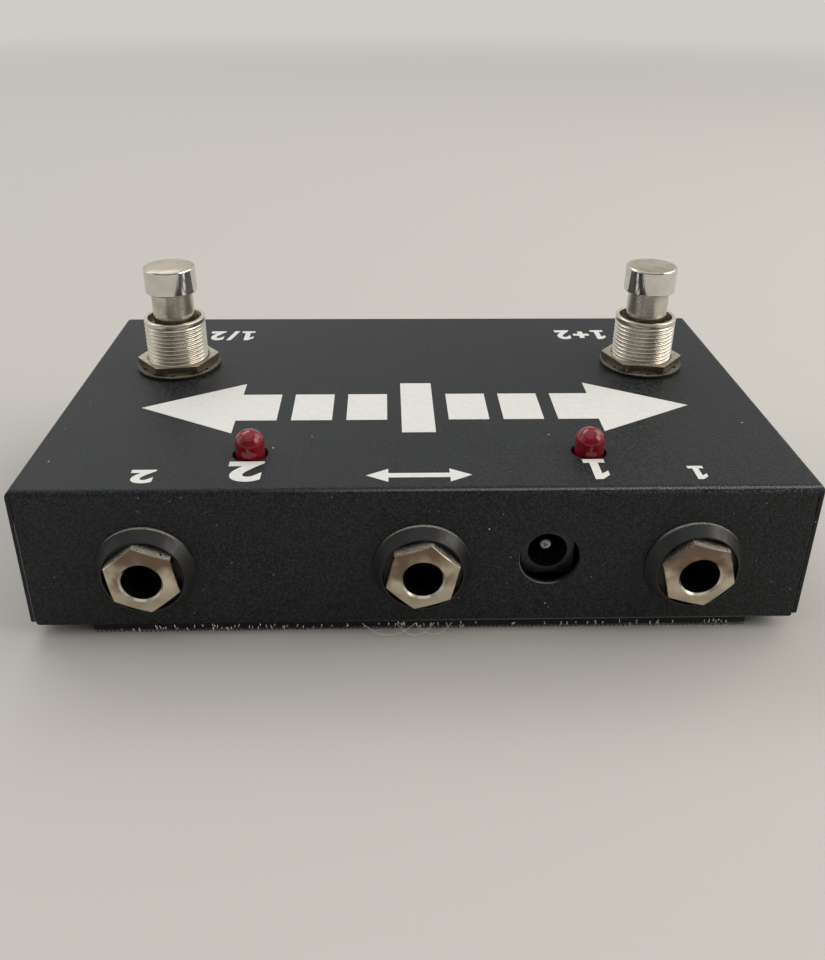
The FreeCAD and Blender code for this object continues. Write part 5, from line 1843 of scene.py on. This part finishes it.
@dataclass
class Electronics(Assembly):
    """The circuit board with its small parts, the battery and its leads.

    Attributes:
        pinch: How far the foam's sides draw in.
        cuts: How often each edge of the foam is split.
    """

    pinch: float = 0.35
    cuts: int = 11

    def build(self) -> None:
        """Keep the hard parts and make the foam pad."""
        self.keep(BOARD_GREEN, "circuit_board")
        self.keep(TINNED, "lamp_wires")
        self.keep(RESISTOR, "resistors")
        self.keep(SOCKET_PLASTIC, "capacitors", "transistors", "battery_snap")
        self.keep(SLEEVE, "battery")
        self.keep(SHEATH, "battery_leads")
        pad = self.foam_pad()
        self.hand_over(pad, Body.BOX, FOAM, "foam_pad")

    def foam_pad(self) -> Piece:
        """Make the foam between battery and cover, drawn in a little along its sides.

        Returns:
            The piece.
        """
        low, high = (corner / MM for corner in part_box("foam_pad"))
        middle, size = (low + high) / 2, high - low
        shape = bmesh.new()
        bmesh.ops.create_cube(shape, size=1.0)
        bmesh.ops.subdivide_edges(
            shape, edges=list(shape.edges), cuts=self.cuts, use_grid_fill=True)
        for vert in shape.verts:
            pinch = self.pinch * math.cos(math.pi * vert.co.z)
            inward = Vector([
                math.copysign(pinch, part) if abs(part) > 0.49 else 0.0
                for part in vert.co.xy] + [0.0])
            vert.co = middle + Vector(part * length for part, length in zip(vert.co, size)) - inward
        return solid("soft_foam_pad", shape, ease=0.25)


# The studio


@dataclass(frozen=True)
class Softbox:
    """One soft light.

    Attributes:
        name: Name of the light.
        place: Where it hangs, in metres.
        aim: What it points at.
        size: Width and height.
        power: Power in watts.
        colour: Colour of its light.
    """

    name: str
    place: Place
    aim: Place
    size: Point
    power: float
    colour: str = "#FFFFFF"

    def hang(self) -> None:
        """Put the light into the scene."""
        light = bpy.data.lights.new(self.name, "AREA")
        light.shape = "RECTANGLE"
        light.size, light.size_y = self.size
        light.energy = self.power
        light.color = linear(self.colour)[:3]
        way = Vector(self.aim) - Vector(self.place)
        turn = way.to_track_quat("-Z", "Y").to_matrix().to_4x4()
        shown(self.name, light).matrix_world = Matrix.Translation(self.place) @ turn


@dataclass
class Studio:
    """The floor, the soft lights and the camera.

    Attributes:
        width: Width of the picture in pixels.
        height: Height of the picture.
        focal: Focal length in pixels.
        axis_row: Row of the picture that the lens looks along.
        yaw: Turn of the camera to the right, in degrees.
        pitch: Tilt down.
        roll: Tilt to the side.
        stand: Place of the camera.
        sensor: Sensor width.
        table: Half the width of the square floor.
        lit_reach: How far out the lamps light the floor evenly.
        horizon: Colour of the room's walls.
        zenith: Colour overhead.
        behind: Colour behind the camera.
        softboxes: The lights.
    """

    width: float = 825.0
    height: float = 960.0
    focal: float = 916.9
    axis_row: float = 414.3
    yaw: float = 1.87
    pitch: float = 26.19
    roll: float = 0.51
    stand: Place = (-5.38, -163.27, 102.9)
    sensor: float = 36.0
    floor_colour: str = "#CFCCC7"
    table: float = 4000.0
    lit_reach: float = 600.0
    horizon: str = "#D9D8D6"
    zenith: str = "#A09F9E"
    behind: str = "#615F5C"
    softboxes: tuple[Softbox, ...] = (
        Softbox("key_softbox", (1.0, 0.5, 0.85), (0.0, 0.0, 0.02), (0.8, 0.8), 3.8, "#FFFBF4"),
        Softbox("overhead_softbox", (-0.1, -0.35, 1.4), (-0.1, -0.35, 0.0), (1.6, 2.3), 5.5),
        Softbox("back_softbox", (-0.55, 0.85, 1.15), (0.0, 0.0, 0.02), (1.0, 0.5), 4.6),
        Softbox("right_softbox", (0.6, -0.19, 0.42), (0.03, -0.04, 0.015), (0.42, 0.42), 1.7,
                "#FFF9F0"),
        Softbox("left_softbox", (-0.9, 0.1, 0.5), (0.0, 0.0, 0.02), (0.35, 0.9), 0.6),
    )

    def build(self) -> None:
        """Set up camera, floor, world and lamps."""
        self.camera()
        self.floor()
        self.world()
        for softbox in self.softboxes:
            softbox.hang()
        bpy.context.scene.view_settings.view_transform = "Standard"

    def camera(self) -> None:
        """Stand the camera where the photograph was taken."""
        lens = bpy.data.cameras.new("camera")
        lens.sensor_fit = "HORIZONTAL"
        lens.sensor_width = self.sensor
        lens.lens = self.sensor * self.focal / self.width
        lens.shift_y = (self.axis_row - self.height / 2) / self.width
        lens.clip_start = 0.005
        lens.clip_end = 50.0
        camera = shown("camera", lens)
        turn = (Matrix.Rotation(-math.radians(self.yaw), 4, "Z")
                @ Matrix.Rotation(math.radians(90 - self.pitch), 4, "X")
                @ Matrix.Rotation(math.radians(self.roll), 4, "Z"))
        camera.matrix_world = Matrix.Translation(Vector(self.stand) * MM) @ turn
        bpy.context.scene.camera = camera

    def floor(self) -> None:
        """Lay the pale floor, which keeps its colour out to the horizon."""
        shape = bmesh.new()
        bmesh.ops.create_grid(shape, x_segments=1, y_segments=1, size=self.table)
        floor = solid("floor", shape)
        material = bpy.data.materials.new("pale_matt_floor")
        material.use_nodes = True
        tree = material.node_tree
        sums = Wiring(tree)
        colour = linear(self.floor_colour)
        shader = tree.nodes["Principled BSDF"]
        feed(tree, shader, {"Base Color": colour, "Roughness": 0.9, "Specular IOR Level": 0.0})
        where = add_node(tree, "ShaderNodeTexCoord").outputs["Object"]
        length = {"operation": "LENGTH"}
        reach = add_node(tree, "ShaderNodeVectorMath", length, {0: where}).outputs["Value"]
        far = sums.ramp(reach, self.lit_reach * MM, 2.5 * self.lit_reach * MM)
        # The camera and mirrors see the far floor glow; nothing is lit by it
        rays = add_node(tree, "ShaderNodeLightPath").outputs
        seen = sums.total(rays["Is Camera Ray"], rays["Is Glossy Ray"], rays["Is Transmission Ray"])
        glow = add_node(tree, "ShaderNodeEmission", inputs={"Color": colour, "Strength": 1.0})
        mix = add_node(tree, "ShaderNodeMixShader", inputs={
            0: sums.product(far, sums.maths("MINIMUM", seen, 1.0)),
            1: shader.outputs[0], 2: glow.outputs[0]})
        feed(tree, tree.nodes["Material Output"], {"Surface": mix.outputs[0]})
        floor.data.materials.append(material)

    def world(self) -> None:
        """Light the room: pale at the horizon, greyer overhead, dimmer behind the camera."""
        world = bpy.data.worlds.new("studio")
        bpy.context.scene.world = world
        world.use_nodes = True
        tree = world.node_tree
        sums = Wiring(tree)
        _, depth, height = sums.axes(add_node(tree, "ShaderNodeTexCoord").outputs["Generated"])
        colour = sums.mixed(sums.ramp(height, 0.3, 0.95), self.horizon, self.zenith)
        colour = sums.mixed(sums.ramp(depth, -0.1, -0.8), colour, self.behind)
        feed(tree, tree.nodes["Background"], {"Color": colour, "Strength": 1.0})


def main() -> None:
    """Load the frame, set up the studio and dress the frame."""
    logging.basicConfig(level=logging.INFO, format="%(message)s")
    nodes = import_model()["nodes"]
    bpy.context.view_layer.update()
    Studio().build()
    for assembly in (
        Casing(nodes),
        Legends(nodes),
        HookTape(nodes),
        FootSwitch(nodes, Side.LEFT, -47.45, 8.5),
        FootSwitch(nodes, Side.RIGHT, 47.45, -9.7),
        JackSocket(nodes, Side.LEFT, -44.6, 39.1),
        JackSocket(nodes, Side.MIDDLE, 0.5, 17.2),
        JackSocket(nodes, Side.RIGHT, 45.6, 44.6),
        PowerSocket(nodes),
        Lamp(nodes, Side.LEFT, -28.2),
        Lamp(nodes, Side.RIGHT, 29.2),
        Electronics(nodes),
    ):
        assembly.build()
        LOG.info("%s done", type(assembly).__name__)


if __name__ == "__main__":
    main()
